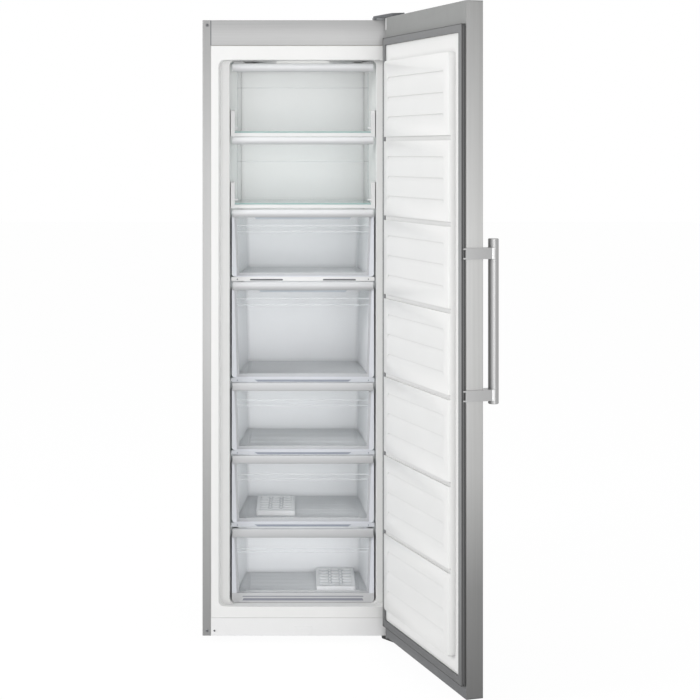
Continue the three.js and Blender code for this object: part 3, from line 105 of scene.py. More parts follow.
SHADOW_SHARE = 0.15         # of a clear piece's density, so that most of the lamps' light gets through


class Finish:
    """A material with one Principled shader, and the nodes that give its surface detail and its painted
    shade.
    """

    def __init__(self, name, color, roughness, metallic=0.0, **settings):
        self.material = bpy.data.materials.new(name)
        self.material.use_nodes = True
        self.nodes = self.material.node_tree.nodes
        self.links = self.material.node_tree.links
        self.shader = self.nodes["Principled BSDF"]
        self.tint = None
        self.color = color
        self.roughness = roughness
        self.shader.inputs["Base Color"].default_value = color
        self.shader.inputs["Roughness"].default_value = roughness
        self.shader.inputs["Metallic"].default_value = metallic
        for socket, value in settings.items():
            self.shader.inputs[socket.replace("_", " ")].default_value = value

    def node(self, kind, **settings):
        made = self.nodes.new(kind)
        for name, value in settings.items():
            setattr(made, name, value)
        return made

    def place(self, scale):
        """Object coordinates, stretched."""
        source = self.node("ShaderNodeTexCoord")
        mapping = self.node("ShaderNodeMapping")
        mapping.inputs["Scale"].default_value = scale
        self.links.new(source.outputs["Object"], mapping.inputs["Vector"])
        return mapping.outputs["Vector"]

    def noise(self, scale, detail=3.0, stretch=(1, 1, 1)):
        texture = self.node("ShaderNodeTexNoise")
        texture.inputs["Scale"].default_value = scale
        texture.inputs["Detail"].default_value = detail
        self.links.new(self.place(stretch), texture.inputs["Vector"])
        return texture.outputs["Fac"]

    def remap(self, source, low, high):
        ranged = self.node("ShaderNodeMapRange")
        ranged.inputs["From Min"].default_value = 0.25
        ranged.inputs["From Max"].default_value = 0.75
        ranged.inputs["To Min"].default_value = low
        ranged.inputs["To Max"].default_value = high
        self.links.new(source, ranged.inputs["Value"])
        return ranged.outputs["Result"]

    def multiply(self, level):
        """Multiplies the base colour, as it is so far, by a level."""
        mix = self.node("ShaderNodeMix", data_type="RGBA", blend_type="MULTIPLY")
        mix.inputs["Factor"].default_value = 1.0
        if self.tint:
            self.links.new(self.tint, mix.inputs["A"])
        else:
            mix.inputs["A"].default_value = self.color
        self.links.new(level, mix.inputs["B"])
        self.tint = mix.outputs["Result"]
        self.links.new(self.tint, self.shader.inputs["Base Color"])
        return self

    def vary_color(self, source, amount):
        """Lightens and darkens the base colour by a share."""
        return self.multiply(self.remap(source, 1 - amount, 1 + amount))

    def ramp_up(self, vector, low, high, levels):
        """Multiplies the base colour by levels spread evenly along a vector's Z, from low to high."""
        parts = self.node("ShaderNodeSeparateXYZ")
        ranged = self.node("ShaderNodeMapRange")
        ranged.inputs["From Min"].default_value = low
        ranged.inputs["From Max"].default_value = high
        ramp = self.node("ShaderNodeValToRGB")
        elements = ramp.color_ramp.elements
        while len(elements) < len(levels):
            elements.new(0.5)
        for index, level in enumerate(levels):
            elements[index].position = index / (len(levels) - 1)
            elements[index].color = (level, level, level, 1)
        self.links.new(vector, parts.inputs["Vector"])
        self.links.new(parts.outputs["Z"], ranged.inputs["Value"])
        self.links.new(ranged.outputs["Result"], ramp.inputs["Fac"])
        return self.multiply(ramp.outputs["Color"])

    def fade(self, levels):
        """Painted reflection and shade: levels from the floor to the top, as sheet metal mirrors a dark floor
        and a pale wall.
        """
        return self.ramp_up(self.node("ShaderNodeTexCoord").outputs["Object"], 0.0, WHOLE_HEIGHT, levels)

    def slope(self, down, level, up):
        """Painted shade: levels for faces that look down, level and up, as the light in a room with its own
        floor and ceiling gives.
        """
        normal = self.node("ShaderNodeNewGeometry").outputs["Normal"]
        return self.ramp_up(normal, -1.0, 1.0, (down, level, up))

    def crease(self, reach, darkest):
        """Painted shade: darker in hollows that are narrower than the reach in millimetres, where little
        light gets in.
        """
        hollow = self.node("ShaderNodeAmbientOcclusion", samples=4)
        hollow.inputs["Distance"].default_value = reach * MM
        ranged = self.node("ShaderNodeMapRange")
        ranged.inputs["From Min"].default_value = 0.4
        ranged.inputs["To Min"].default_value = darkest
        self.links.new(hollow.outputs["AO"], ranged.inputs["Value"])
        return self.multiply(ranged.outputs["Result"])

    def vary_roughness(self, source, amount):
        level = self.remap(source, self.roughness - amount, self.roughness + amount)
        self.links.new(level, self.shader.inputs["Roughness"])
        return self

    def bump(self, source, height):
        node = self.node("ShaderNodeBump")
        node.inputs["Strength"].default_value = 1.0
        node.inputs["Distance"].default_value = height * MM
        self.links.new(source, node.inputs["Height"])
        self.links.new(node.outputs["Normal"], self.shader.inputs["Normal"])
        return self

    def edge_alpha(self, flat, edge):
        """See-through where it is looked at square on, denser at a slant and along its edges."""
        facing = self.node("ShaderNodeLayerWeight")
        facing.inputs["Blend"].default_value = 0.35
        ranged = self.node("ShaderNodeMapRange")
        ranged.inputs["To Min"].default_value = flat
        ranged.inputs["To Max"].default_value = edge
        seen = self.node("ShaderNodeLightPath")
        passed = self.node("ShaderNodeMapRange")
        passed.inputs["To Min"].default_value = 1.0
        passed.inputs["To Max"].default_value = SHADOW_SHARE
        both = self.node("ShaderNodeMath", operation="MULTIPLY")
        self.links.new(facing.outputs["Facing"], ranged.inputs["Value"])
        self.links.new(seen.outputs["Is Shadow Ray"], passed.inputs["Value"])
        self.links.new(ranged.outputs["Result"], both.inputs[0])
        self.links.new(passed.outputs["Result"], both.inputs[1])
        self.links.new(both.outputs["Value"], self.shader.inputs["Alpha"])
        return self


def moulded(name, color, roughness, grain=1400, depth=0.005, uneven=0.03, levels=None, painted_slope_shade=None,
            painted_crease_shade=None):
    """Injection-moulded plastic: very fine texture, and a faint unevenness of tone and gloss; levels paint
    shade from the floor up, and the other two settings paint shade by which way a face looks and in hollows.
    """
    finish = Finish(name, color, roughness)
    finish.vary_color(finish.noise(6), 0.01)
    finish.vary_roughness(finish.noise(40), uneven)
    finish.bump(finish.noise(grain, detail=1), depth)
    if levels:
        finish.fade(levels)
    if painted_slope_shade:
        finish.slope(*painted_slope_shade)
    if painted_crease_shade:
        finish.crease(*painted_crease_shade)
    return finish.material


def brushed(name, color, roughness, stretch, metallic=1.0, variation=0.05, levels=None):
    """Steel with fine lines along one direction, and slow cloudy changes of tone; levels paint reflection and
    shade from the floor up.
    """
    finish = Finish(name, color, roughness, metallic)
    lines = finish.noise(220, detail=4, stretch=stretch)
    finish.vary_color(lines, variation)
    finish.vary_roughness(lines, 0.06)
    finish.bump(lines, 0.006)
    if levels:
        finish.fade(levels)
    return finish.material


def painted(name, color, roughness, metallic=0.0):
    """Coil-coated sheet with a slight orange peel."""
    finish = Finish(name, color, roughness, metallic)
    finish.vary_color(finish.noise(5), 0.015)
    finish.vary_roughness(finish.noise(25), 0.04)
    finish.bump(finish.noise(320, detail=2), 0.03)
    return finish.material


def clear(name, color, roughness, flat, edge, glow=0.0):
    """Clear or tinted plastic, seen mostly by its edges and its gloss, with the glow of a lamp behind it."""
    finish = Finish(name, color, roughness, IOR=1.5, Emission_Strength=glow)
    finish.vary_roughness(finish.noise(30), 0.03)
    finish.edge_alpha(flat, edge)
    return finish.material


# ---------- Materials ----------
ALONG_Z = (1, 1, 0.01)
ALONG_X = (0.01, 1, 1)
# Painted reflection and shade: the levels darken the door's steel towards the floor and lighten it about two
# thirds of the way up.
STEEL = brushed("brushed_steel", srgb(184, 184, 183), 0.42, ALONG_Z, 0.6,
                levels=(0.32, 0.5, 0.97, 1.15, 1.22, 1.0, 0.76))
RAIL_STEEL = brushed("rail_steel", srgb(175, 175, 175), 0.42, ALONG_X, 0.45)
BAR_STEEL = brushed("handle_steel", srgb(167, 167, 167), 0.42, ALONG_Z)
BRACKET_STEEL = painted("bracket_steel", srgb(176, 176, 176), 0.42, 0.75)
# Painted reflection and shade: the levels darken the side panels towards the floor and the top, lightest
# about halfway up.
SIDE_STEEL = brushed("silver_side", srgb(172, 172, 172), 0.45, ALONG_Z, 0.4, 0.02,
                     levels=(0.7, 0.93, 1.24, 1.16, 0.82))
CAP_PAINT = painted("cap_paint", srgb(150, 151, 150), 0.5, 0.2)
BOTTOM_CAP = moulded("bottom_cap_plastic", srgb(99, 100, 102), 0.45)
ZINC = painted("galvanised_sheet", srgb(176, 178, 180), 0.45, 0.8)
# Painted shade: the creases darken the liner's hollows.
LINER = moulded("liner_plastic", srgb(242, 242, 241), 0.34, painted_crease_shade=(14, 0.8))
WHITE = moulded("white_plastic", srgb(238, 238, 238), 0.36)
# Painted shade: the levels darken the lower bars, and the slopes darken faces that look down and lighten
# those that look up.
BAR_WHITE = moulded("bar_plastic", srgb(246, 247, 249), 0.32, depth=0.002, uneven=0.01,
                    levels=(0.7, 0.72, 0.81, 1.0, 1.02), painted_slope_shade=(0.46, 0.92, 1.1))
STRIP = moulded("strip_plastic", srgb(217, 220, 225), 0.35)
TAB_PLASTIC = moulded("tab_plastic", srgb(196, 203, 211), 0.3)
PLINTH = moulded("plinth_plastic", srgb(242, 242, 242), 0.4)
# Painted shade: the slopes darken faces that look up or down, and the creases darken the hollows.
BASKET = moulded("basket_plastic", srgb(238, 239, 241), 0.36, painted_slope_shade=(0.8, 1.0, 0.78), painted_crease_shade=(14, 0.75))
# Painted light: a brighter white than the basket's, standing in for light on the ledge's front.
LIT_LEDGE_WHITE = moulded("lit_ledge_plastic", srgb(252, 252, 252), 0.3)
# Painted shade: the slopes darken faces that look up or down.
TRAY = moulded("tray_plastic", srgb(252, 252, 253), 0.3, painted_slope_shade=(0.8, 1.0, 0.84))
# Painted shade: a grey for the deck between the tray's slats and for its rings' grooves.
TRAY_GAP_SHADE = moulded("tray_gap_shade", srgb(168, 171, 176), 0.35)
# Painted shade: a dark grey-blue for the lowest frame's recess bands.
RECESS_SHADE = moulded("recess_shade_plastic", srgb(140, 142, 152), 0.45)
CLEAR = clear("clear_plastic", srgb(226, 232, 240), 0.12, 0.035, 0.5)
RIM_PLASTIC = clear("rim_plastic", srgb(244, 246, 252), 0.2, 0.82, 0.95)
LINE_PLASTIC = clear("line_plastic", srgb(244, 245, 248), 0.25, 0.6, 0.8)
GLASS_EDGE = clear("glass_edge", srgb(176, 208, 206), 0.1, 0.7, 0.85)
SCREW = painted("screw_steel", srgb(134, 135, 137), 0.4, 0.6)
# Painted highlight: a lighter steel than the brackets' own, for their folded ends.
BRACKET_END_HIGHLIGHT_STEEL = painted("bracket_end_highlight_steel", srgb(226, 226, 226), 0.4, 0.5)
# Painted shadow: a dark rubber for the seal's bellows, where shadow falls round its outer side.
FOLD_SHADOW_RUBBER = moulded("fold_shadow_rubber", srgb(84, 84, 84), 0.7)
GLASS = clear("shelf_glass", srgb(196, 222, 218), 0.05, 0.08, 0.7)
LENS = clear("lens_plastic", srgb(246, 246, 244), 0.3, 0.8, 0.95, glow=0.2)
# Painted shade: the levels darken the seal towards the floor and the top.
SEAL = moulded("seal_rubber", srgb(150, 151, 152), 0.62, grain=900, depth=0.03,
               levels=(0.41, 0.78, 0.93, 1.0, 0.95, 0.8, 0.65))
DARK_PLASTIC = moulded("dark_plastic", srgb(96, 98, 101), 0.45)
# Painted shade: a dark grey-blue for the shelf strips' grooves and dimples.
GROOVE_SHADE = moulded("groove_shade_plastic", srgb(150, 156, 168), 0.45)
BLACK_PLASTIC = moulded("black_plastic", srgb(30, 31, 33), 0.5)
BLACK_PAINT = painted("black_paint", srgb(28, 29, 31), 0.4)
COPPER = painted("copper_coat", srgb(176, 112, 76), 0.35, 0.9)
ALUMINIUM = painted("bare_aluminium", srgb(198, 200, 203), 0.35, 0.95)
FOAM = moulded("insulation_foam", srgb(222, 212, 176), 0.9, grain=300, depth=0.4)

NODE_MATERIALS = {
    "left_side_panel": SIDE_STEEL, "right_side_panel": SIDE_STEEL, "top_panel": SIDE_STEEL,
    "top_front_rail": RAIL_STEEL, "back_panel": ZINC, "inner_liner": LINER, "cabinet_foam": FOAM,
    "plinth_cover": PLINTH, "base_frame": ZINC, "evaporator_cover": LINER, "ceiling_duct": WHITE,
    "light_cover": LENS, "flap_carrier_1": WHITE, "flap_carrier_2": WHITE, "evaporator": ALUMINIUM,
    "fan_shroud": DARK_PLASTIC, "fan_rotor": BLACK_PLASTIC, "compressor": BLACK_PAINT,
    "drip_tray": DARK_PLASTIC, "drain_tube": WHITE, "filter_drier": COPPER, "electronics_box": WHITE,
    "power_inlet": BLACK_PLASTIC, "condenser_coil": COPPER, "top_hinge": ZINC,
    "top_hinge_cover": DARK_PLASTIC, "bottom_hinge": BLACK_PAINT, "left_front_foot": BLACK_PLASTIC,
    "right_front_foot": BLACK_PLASTIC, "left_rear_roller": BLACK_PLASTIC,
    "right_rear_roller": BLACK_PLASTIC, "door_skin": STEEL, "door_top_cap": CAP_PAINT,
    "door_bottom_cap": BOTTOM_CAP, "door_foam": FOAM, "door_liner": LINER, "door_gasket": SEAL,
    "handle_bar": BAR_STEEL, "upper_handle_bracket": BRACKET_STEEL,
    "lower_handle_bracket": BRACKET_STEEL,
    "flap_1": CLEAR, "flap_2": CLEAR, "ice_tray_left": TRAY, "ice_tray_right": TRAY,
}
for shelf in range(1, 7):
    NODE_MATERIALS[f"glass_shelf_{shelf}"] = GLASS
for drawer in range(1, 6):
    NODE_MATERIALS[f"drawer_{drawer}_basket"] = BASKET
    NODE_MATERIALS[f"drawer_{drawer}_front"] = CLEAR

# Edge radius in millimetres of the nodes whose edges are softened.
NODE_EDGES = {
    "inner_liner": 1.2, "plinth_cover": 0.5, "evaporator_cover": 0.8, "ceiling_duct": 1.0,
    "light_cover": 0.8, "flap_carrier_1": 1.0, "flap_carrier_2": 1.0, "door_liner": 2.4,
    "door_gasket": 0.8, "door_top_cap": 0.6, "door_bottom_cap": 0.6, "top_hinge_cover": 1.0,
    "top_hinge": 0.4, "bottom_hinge": 0.5, "upper_handle_bracket": 0.8, "lower_handle_bracket": 0.8,
    "electronics_box": 0.8, "power_inlet": 0.4, "drip_tray": 0.5, "top_panel": 0.4, "back_panel": 0.4,
    "top_front_rail": 0.4,
}


SHARP_ANGLE = math.radians(32)


def smoothing_group():
    """Joins a node's facets, then shades it smooth except across its sharp edges."""
    group = bpy.data.node_groups.new("smooth_by_angle", "GeometryNodeTree")
    group.interface.new_socket("Geometry", in_out="INPUT", socket_type="NodeSocketGeometry")
    group.interface.new_socket("Geometry", in_out="OUTPUT", socket_type="NodeSocketGeometry")
    nodes, links = group.nodes, group.links
    source = nodes.new("NodeGroupInput")
    weld = nodes.new("GeometryNodeMergeByDistance")
    weld.inputs["Distance"].default_value = 0.00002
    plain = nodes.new("GeometryNodeRemoveAttribute")
    plain.inputs["Name"].default_value = "custom_normal"
    faces = nodes.new("GeometryNodeSetShadeSmooth")
    angle = nodes.new("GeometryNodeInputMeshEdgeAngle")
    sharp = nodes.new("FunctionNodeCompare")
    sharp.operation = "GREATER_THAN"
    sharp.inputs["B"].default_value = SHARP_ANGLE
    edges = nodes.new("GeometryNodeSetShadeSmooth")
    edges.domain = "EDGE"
    edges.inputs["Shade Smooth"].default_value = False
    result = nodes.new("NodeGroupOutput")
    links.new(source.outputs[0], weld.inputs["Geometry"])
    links.new(weld.outputs["Geometry"], plain.inputs["Geometry"])
    links.new(plain.outputs["Geometry"], faces.inputs["Geometry"])
    links.new(faces.outputs["Geometry"], edges.inputs["Geometry"])
    links.new(angle.outputs["Unsigned Angle"], sharp.inputs["A"])
    links.new(sharp.outputs["Result"], edges.inputs["Selection"])
    links.new(edges.outputs["Geometry"], result.inputs[0])
    return group


def round_edges(thing, radius):
    bevel = thing.modifiers.new("edges", "BEVEL")
    bevel.width = radius * MM
    bevel.segments = 3
    bevel.limit_method = "ANGLE"
    bevel.angle_limit = SHARP_ANGLE
    bevel.harden_normals = True


def dress_nodes():
    smoothing = smoothing_group()
    for name, node in frame["nodes"].items():
        node.data.materials.clear()
        node.data.materials.append(NODE_MATERIALS[name])
        node.modifiers.new("smooth", "NODES").node_group = smoothing
        if name in NODE_EDGES:
            round_edges(node, NODE_EDGES[name])


# ---------- Shape helpers: a shape is its points and its faces, in millimetres ----------
AXES = {"x": (1, 2, 0), "y": (0, 2, 1), "z": (0, 1, 2)}      # outline directions, then the sweep's


def arc(u, v, radius, start, end, steps=6):
    angles = [math.radians(start + (end - start) * i / steps) for i in range(steps + 1)]
    return [(u + radius * math.cos(a), v + radius * math.sin(a)) for a in angles]


def rounded_rect(u0, u1, v0, v1, radius, steps=5):
    return (arc(u1 - radius, v0 + radius, radius, -90, 0, steps)
            + arc(u1 - radius, v1 - radius, radius, 0, 90, steps)
            + arc(u0 + radius, v1 - radius, radius, 90, 180, steps)
            + arc(u0 + radius, v0 + radius, radius, 180, 270, steps))


def oval(u, v, half_u, half_v, sides):
    angles = [2 * math.pi * i / sides for i in range(sides)]
    return [(u + half_u * math.cos(a), v + half_v * math.sin(a)) for a in angles]


def loft(axis, rings):
    """A closed skin through rings of equal count, each a place along the axis and an outline."""
    first, second, along = AXES[axis]
    points = []
    for at, outline in rings:
        for u, v in outline:
            point = [0.0, 0.0, 0.0]
            point[first], point[second], point[along] = u, v, at
            points.append(point)
    count = len(rings[0][1])
    last = (len(rings) - 1) * count
    faces = []
    for ring in range(0, last, count):
        for i in range(count):
            after = (i + 1) % count
            faces.append((ring + i, ring + after, ring + count + after, ring + count + i))
    faces.append(tuple(reversed(range(count))))
    faces.append(tuple(range(last, last + count)))
    return points, faces


def prism(axis, outline, low, high):
    return loft(axis, [(low, outline), (high, outline)])


def block(x0, x1, y0, y1, z0, z1):
    return prism("z", [(x0, y0), (x1, y0), (x1, y1), (x0, y1)], z0, z1)


def disc(axis, u, v, profile, sides=24):
    """A turned form about an axis, from pairs of a place along it and a radius above 0."""
    return loft(axis, [(at, oval(u, v, radius, radius, sides)) for at, radius in profile])


def join(*shapes):
    points, faces = [], []
    for more, sides in shapes:
        faces += [tuple(i + len(points) for i in face) for face in sides]
        points += more
    return points, faces


def piece(name, shape, material, body, space=CABINET, edge=0.0, replaces=None):
    """Makes a shape into a named piece that rides on a body."""
    mesh = bpy.data.meshes.new(name)
    points, faces = shape
    mesh.from_pydata([space @ Vector(p) for p in points], [], faces)
    work = bmesh.new()
    work.from_mesh(mesh)
    bmesh.ops.recalc_face_normals(work, faces=work.faces)
    work.to_mesh(mesh)
    work.free()
    mesh.materials.append(material)
    thing = bpy.data.objects.new(name, mesh)
    bpy.context.scene.collection.objects.link(thing)
    if edge:
        round_edges(thing, edge)
        mesh.shade_smooth()
    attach(thing, body)
    if replaces:
        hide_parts(replaces)
    return thing


# ---------- Fronts of the flaps and drawers ----------
BAR_FRONT = 36
BAR_BACK = 54
BAR_WALL = 3.5
BAR_END = 12
BAR_SIDE = 210.5                # half of each bar's length
ROUND_BARS = ("flap_1", "flap_2", "drawer_1", "drawer_2")
PANEL_Y = 50
PANEL = 3
PANEL_LAP = 8                   # how far a clear panel reaches up into its bar


def grip_bar(side, bottom, top, rounded):
    """The bar along a front's top, round or flat in front, with a channel for the fingers below."""
    height = top - bottom
    if rounded:
        swell = [(9.0, 0.0), (4.6, 0.06), (2.2, 0.16), (0.7, 0.29), (0.0, 0.43), (0.4, 0.58), (1.6, 0.73),
                 (3.6, 0.87), (6.0, 1.0)]
        front = [(BAR_FRONT + back, top - share * height) for back, share in swell]
    else:
        front = (arc(BAR_FRONT + 3, top - 3, 3, 90, 180) + [(BAR_FRONT + 0.6, bottom + height * 0.3)]
                 + arc(BAR_FRONT + 4.2, bottom + 2, 2, 180, 270, 3))
    solid = [(BAR_BACK, bottom), (BAR_BACK, top)] + front
    roof = top - BAR_WALL
    channel = [(BAR_FRONT + BAR_WALL + 4.7, bottom), (BAR_FRONT + BAR_WALL + 1.5, roof), (PANEL_Y - 1, roof),
               (PANEL_Y - 1, bottom)]
    inner = side - BAR_END
    return join(
        prism("x", solid + channel, -inner - 1, inner + 1),
        prism("x", solid, -side, -inner),
        prism("x", solid, inner, side),
    )


def drawer_names():
    return [f"drawer_{number}" for number in range(1, 6)]


# Height of the bar on each front, and the two moulded lines below it, as the photograph shows them.
BAR_HEIGHTS = {"flap_1": 24.5, "flap_2": 21.8, "drawer_1": 23, "drawer_2": 25, "drawer_3": 23.5,
               "drawer_4": 23, "drawer_5": 25.5}
LINES = {"drawer_1": (25, 43), "drawer_2": (26, 44.5), "drawer_3": (29, 45), "drawer_4": (34, 49),
         "drawer_5": (35, 45)}
TABS = {"drawer_1": 146, "drawer_2": 133}       # half the width of the tab below the bar
TAB_HEIGHT = 6.5
RIM = 3                         # thickness of the raised rim round a drawer's front
RIM_SIDE = 8                    # its width at the sides, below the bar
RIM_CORNER = (15, 14)           # how far in and up its lower corners reach
CORNER = 10


def make_bar(name, node):
    top = span(node)[1].z
    bottom = top - BAR_HEIGHTS[name]
    shape = grip_bar(BAR_SIDE, bottom, top, name in ROUND_BARS)
    piece(f"{name}_bar", shape, BAR_WHITE, name, edge=1.2, replaces=node)
    return bottom


def front_face(side, bottom, top):
    """Outline of a front with round lower corners."""
    return (arc(side - CORNER, bottom + CORNER, CORNER, -90, 0) + [(side, top), (-side, top)]
            + arc(-side + CORNER, bottom + CORNER, CORNER, 180, 270))


def make_drawer_front(name):
    node = f"{name}_front"
    low, high = span(node)
    bottom = make_bar(name, node)
    side = high.x
    face = front_face(side, low.z, bottom + PANEL_LAP)
    piece(f"{name}_panel", prism("y", face, PANEL_Y, PANEL_Y + PANEL), CLEAR, name,
          replaces=node)
    lines = []
    for drop in LINES[name]:
        middle = bottom - drop
        ridge = [(PANEL_Y + 0.2, middle - 1.1), (PANEL_Y - 0.7, middle - 0.5), (PANEL_Y - 0.7, middle + 0.5),
                 (PANEL_Y + 0.2, middle + 1.1)]
        lines.append(prism("x", ridge, -side + RIM_SIDE, side - RIM_SIDE))
    piece(f"{name}_lines", join(*lines), LINE_PLASTIC, name)
    corner = side - RIM_CORNER[0]
    inner = [(corner, low.z + RIM), (corner, low.z + RIM_CORNER[1]), (side - RIM_SIDE, bottom + 4)]
    outer = arc(side - CORNER, low.z + CORNER, CORNER, -90, 0) + [(side, bottom + 4)]
    right = outer + list(reversed(inner))
    left = [(-u, v) for u, v in right]
    foot = block(-side + CORNER, side - CORNER, PANEL_Y - RIM, PANEL_Y, low.z, low.z + RIM)
    rim = [prism("y", right, PANEL_Y - RIM, PANEL_Y), prism("y", left, PANEL_Y - RIM, PANEL_Y), foot]
    piece(f"{name}_rim", join(*rim), RIM_PLASTIC, name, edge=0.6)
    if name in TABS:
        half = TABS[name]
        tab = [(-half, bottom + 1), (-half + TAB_HEIGHT, bottom - TAB_HEIGHT),
               (half - TAB_HEIGHT, bottom - TAB_HEIGHT), (half, bottom + 1)]
        piece(f"{name}_grip_tab", prism("y", tab, PANEL_Y - 1, PANEL_Y + 0.5), TAB_PLASTIC, name,
              edge=0.6)


LOWEST_FRAME = 28               # height of the lowest drawer's bottom frame
RECESS_SIDE = 181
RECESS_BANDS = ((5.5, 12.5), (16.5, 19.5))      # heights above the frame's foot


def make_lowest_frame():
    """The lowest drawer's bottom frame, with a long recess in two bands, drawn as dark bands just proud of
    the frame that paint the recess's shade.
    """
    low, high = span("drawer_5_front")
    face = front_face(high.x, low.z, low.z + LOWEST_FRAME)
    piece("drawer_5_frame", prism("y", face, PANEL_Y - RIM - 0.3, PANEL_Y + 1), BAR_WHITE, "drawer_5",
          edge=0.8)
    half = RECESS_SIDE
    bands = []
    for start, end in RECESS_BANDS:
        lean = (end - start) / 2
        band = [(-half, low.z + start), (half, low.z + start), (half - lean, low.z + end),
                (-half + lean, low.z + end)]
        bands.append(prism("y", band, PANEL_Y - RIM - 0.45, PANEL_Y))
    piece("drawer_5_recess_shade", join(*bands), RECESS_SHADE, "drawer_5")


FLAP_SIDE = 197
FLAP_CREASE_DROP = 73           # of a flap's moulded line below its top
FLAP_WALL = 3                   # thickness of the short walls at a flap's ends
FLAP_WALL_DEPTH = 14
PIN_Y = 51.5
PIN_RISE = 10                   # of a flap's pins above its shelf
PIN_RADIUS = 3.0


def make_flap_front(name, shelf):
    low, high = span(name)
    bottom = make_bar(name, name)
    side = FLAP_SIDE
    crease = high.z - FLAP_CREASE_DROP
    fold = [(PANEL_Y + 0.2, crease - 1.4), (PANEL_Y - 0.8, crease - 0.5), (PANEL_Y - 0.8, crease + 0.5),
            (PANEL_Y + 0.2, crease + 1.4)]
    top = bottom + PANEL_LAP
    panel = [
        block(-side, side, PANEL_Y, PANEL_Y + PANEL, low.z, top),
        prism("x", fold, -side, side),
        block(side - FLAP_WALL, side, PANEL_Y + 1, PANEL_Y + FLAP_WALL_DEPTH, low.z, top),
        block(-side, -side + FLAP_WALL, PANEL_Y + 1, PANEL_Y + FLAP_WALL_DEPTH, low.z, top),
    ]
    piece(f"{name}_panel", join(*panel), CLEAR, name, replaces=name)
    pivot = span(shelf)[1].z + PIN_RISE
    pins = [disc("x", PIN_Y, pivot, [(end * high.x, PIN_RADIUS), (end * (side - FLAP_WALL), PIN_RADIUS)], 20)
            for end in (1, -1)]
    piece(f"{name}_pins", join(*pins), WHITE, name)


# ---------- Shelves ----------
SLOTTED_SHELF = 3               # the shelf over the second drawer has two slots, the others one groove
STRIP_FRONT = 50
STRIP_REAR = 70
STRIP_STEP = 57.7               # where the strip's lip over the glass ends
STRIP_BOTTOM = 13               # below the glass's top, as are the heights that follow
STRIP_SEAT = 4.3
SLOT = (60, 158, 11, 6.5)       # along the shelf from its middle, then down
GROOVE_HALF = (145, 135)        # at its upper and its lower edge
GROOVE_DEPTHS = (5.5, 11.5)
DIMPLE = (196, 7.5, 1.8)        # place along the shelf and down, and radius


def make_shelf_strip(number):
    """Profile along a shelf's front edge, with its slots or groove and a dimple near each end, drawn as dark
    pieces just proud of its face that paint the shade inside them.
    """
    high = span(f"glass_shelf_{number}")[1]
    side = high.x - 2
    top = high.z
    foot, seat, lip = top - STRIP_BOTTOM, top - STRIP_SEAT, top - 0.3
    section = [(STRIP_FRONT, foot), (STRIP_REAR, foot), (STRIP_REAR, seat), (STRIP_STEP, seat),
               (STRIP_STEP, lip), (STRIP_FRONT, lip)]
    # The slots, groove and dimples get a dark finish, painted shade.
    strip, finish = (WHITE, DARK_PLASTIC) if number == SLOTTED_SHELF else (STRIP, GROOVE_SHADE)
    piece(f"shelf_strip_{number}", prism("x", section, -side, side), strip, "cabinet",
          edge=0.8)
    front, rear = STRIP_FRONT - 0.4, STRIP_FRONT + 1
    if number == SLOTTED_SHELF:
        near, far, below, above = SLOT
        groove_shades = [prism("y", rounded_rect(x0, x1, top - below, top - above, 1.5, 3), front, rear)
                   for x0, x1 in ((near, far), (-far, -near))]
    else:
        wide, narrow = GROOVE_HALF
        above, below = GROOVE_DEPTHS
        groove = [(-wide, top - above), (-narrow, top - below), (narrow, top - below), (wide, top - above)]
        groove_shades = [prism("y", groove, front, rear)]
    x, down, radius = DIMPLE
    groove_shades += [disc("y", end * x, top - down, [(STRIP_FRONT - 0.6, radius), (STRIP_FRONT + 0.6, radius)], 16)
                for end in (1, -1)]
    piece(f"shelf_groove_shades_{number}", join(*groove_shades), finish, "cabinet")


# ---------- Baskets and trays ----------
FLOOR_RISE = 3.3                # of a basket's floor above its underside
LOWEST_FLOOR_RISE = 22.6
FIELD_FRONT = 58
FIELD_REAR = 412
FIELD_SIDE = 170
FIELD_MARGIN = 16               # from a shorter basket's rear
FIELD_SECTIONS = 15             # with a rib between each two, but none beside the ledge
RIB_SIDE = 160
LEDGE_HEIGHT = 8
LEDGE_DEPTH = 19


def make_floor_ribs(name):
    """Ribbed field on a basket's floor, and the raised ledge along its front."""
    low, high = span(f"{name}_basket")
    rise = LOWEST_FLOOR_RISE if name == "drawer_5" else FLOOR_RISE
    base = low.z + rise - 0.4
    front, rear = FIELD_FRONT, min(high.y - FIELD_MARGIN, FIELD_REAR)
    side, top = FIELD_SIDE, base + LEDGE_HEIGHT
    field = loft("z", [(base - 1, rounded_rect(-side, side, front, rear, 8)),
                       (base + 0.9, rounded_rect(-side + 1, side - 1, front + 0.8, rear - 0.8, 8)),
                       (base + 1.4, rounded_rect(-side + 2, side - 2, front + 1.6, rear - 1.6, 7))])
    section = [(front, base), (front + 0.5, top - 1.5), (front + 2, top), (front + LEDGE_DEPTH - 4, top),
               (front + LEDGE_DEPTH, base)]
    piece(f"{name}_floor_ledge", prism("x", section, -side - 1, side + 1), LIT_LEDGE_WHITE, name,
          edge=0.5)
    ribs = [field]
    for index in range(2, FIELD_SECTIONS):
        y = front + (rear - front) * index / FIELD_SECTIONS
        rib = [(y - 2.2, base + 1.2), (y - 1.1, base + 2.2), (y + 1.1, base + 2.2), (y + 2.2, base + 1.2)]
        ribs.append(prism("x", rib, -RIB_SIDE, RIB_SIDE))
    piece(f"{name}_floor_field", join(*ribs), BASKET, name, edge=0.5)


TRAY_ROWS = 6
TRAY_COLUMNS = 3
TRAY_MARGIN_X = 9
TRAY_MARGIN_FRONT = 13
TRAY_MARGIN_REAR = 7
RING_HALF = 5.4                 # half width of the oval rings between the columns
RING_GAP = 6                    # from a column's slats to the middle of its rings


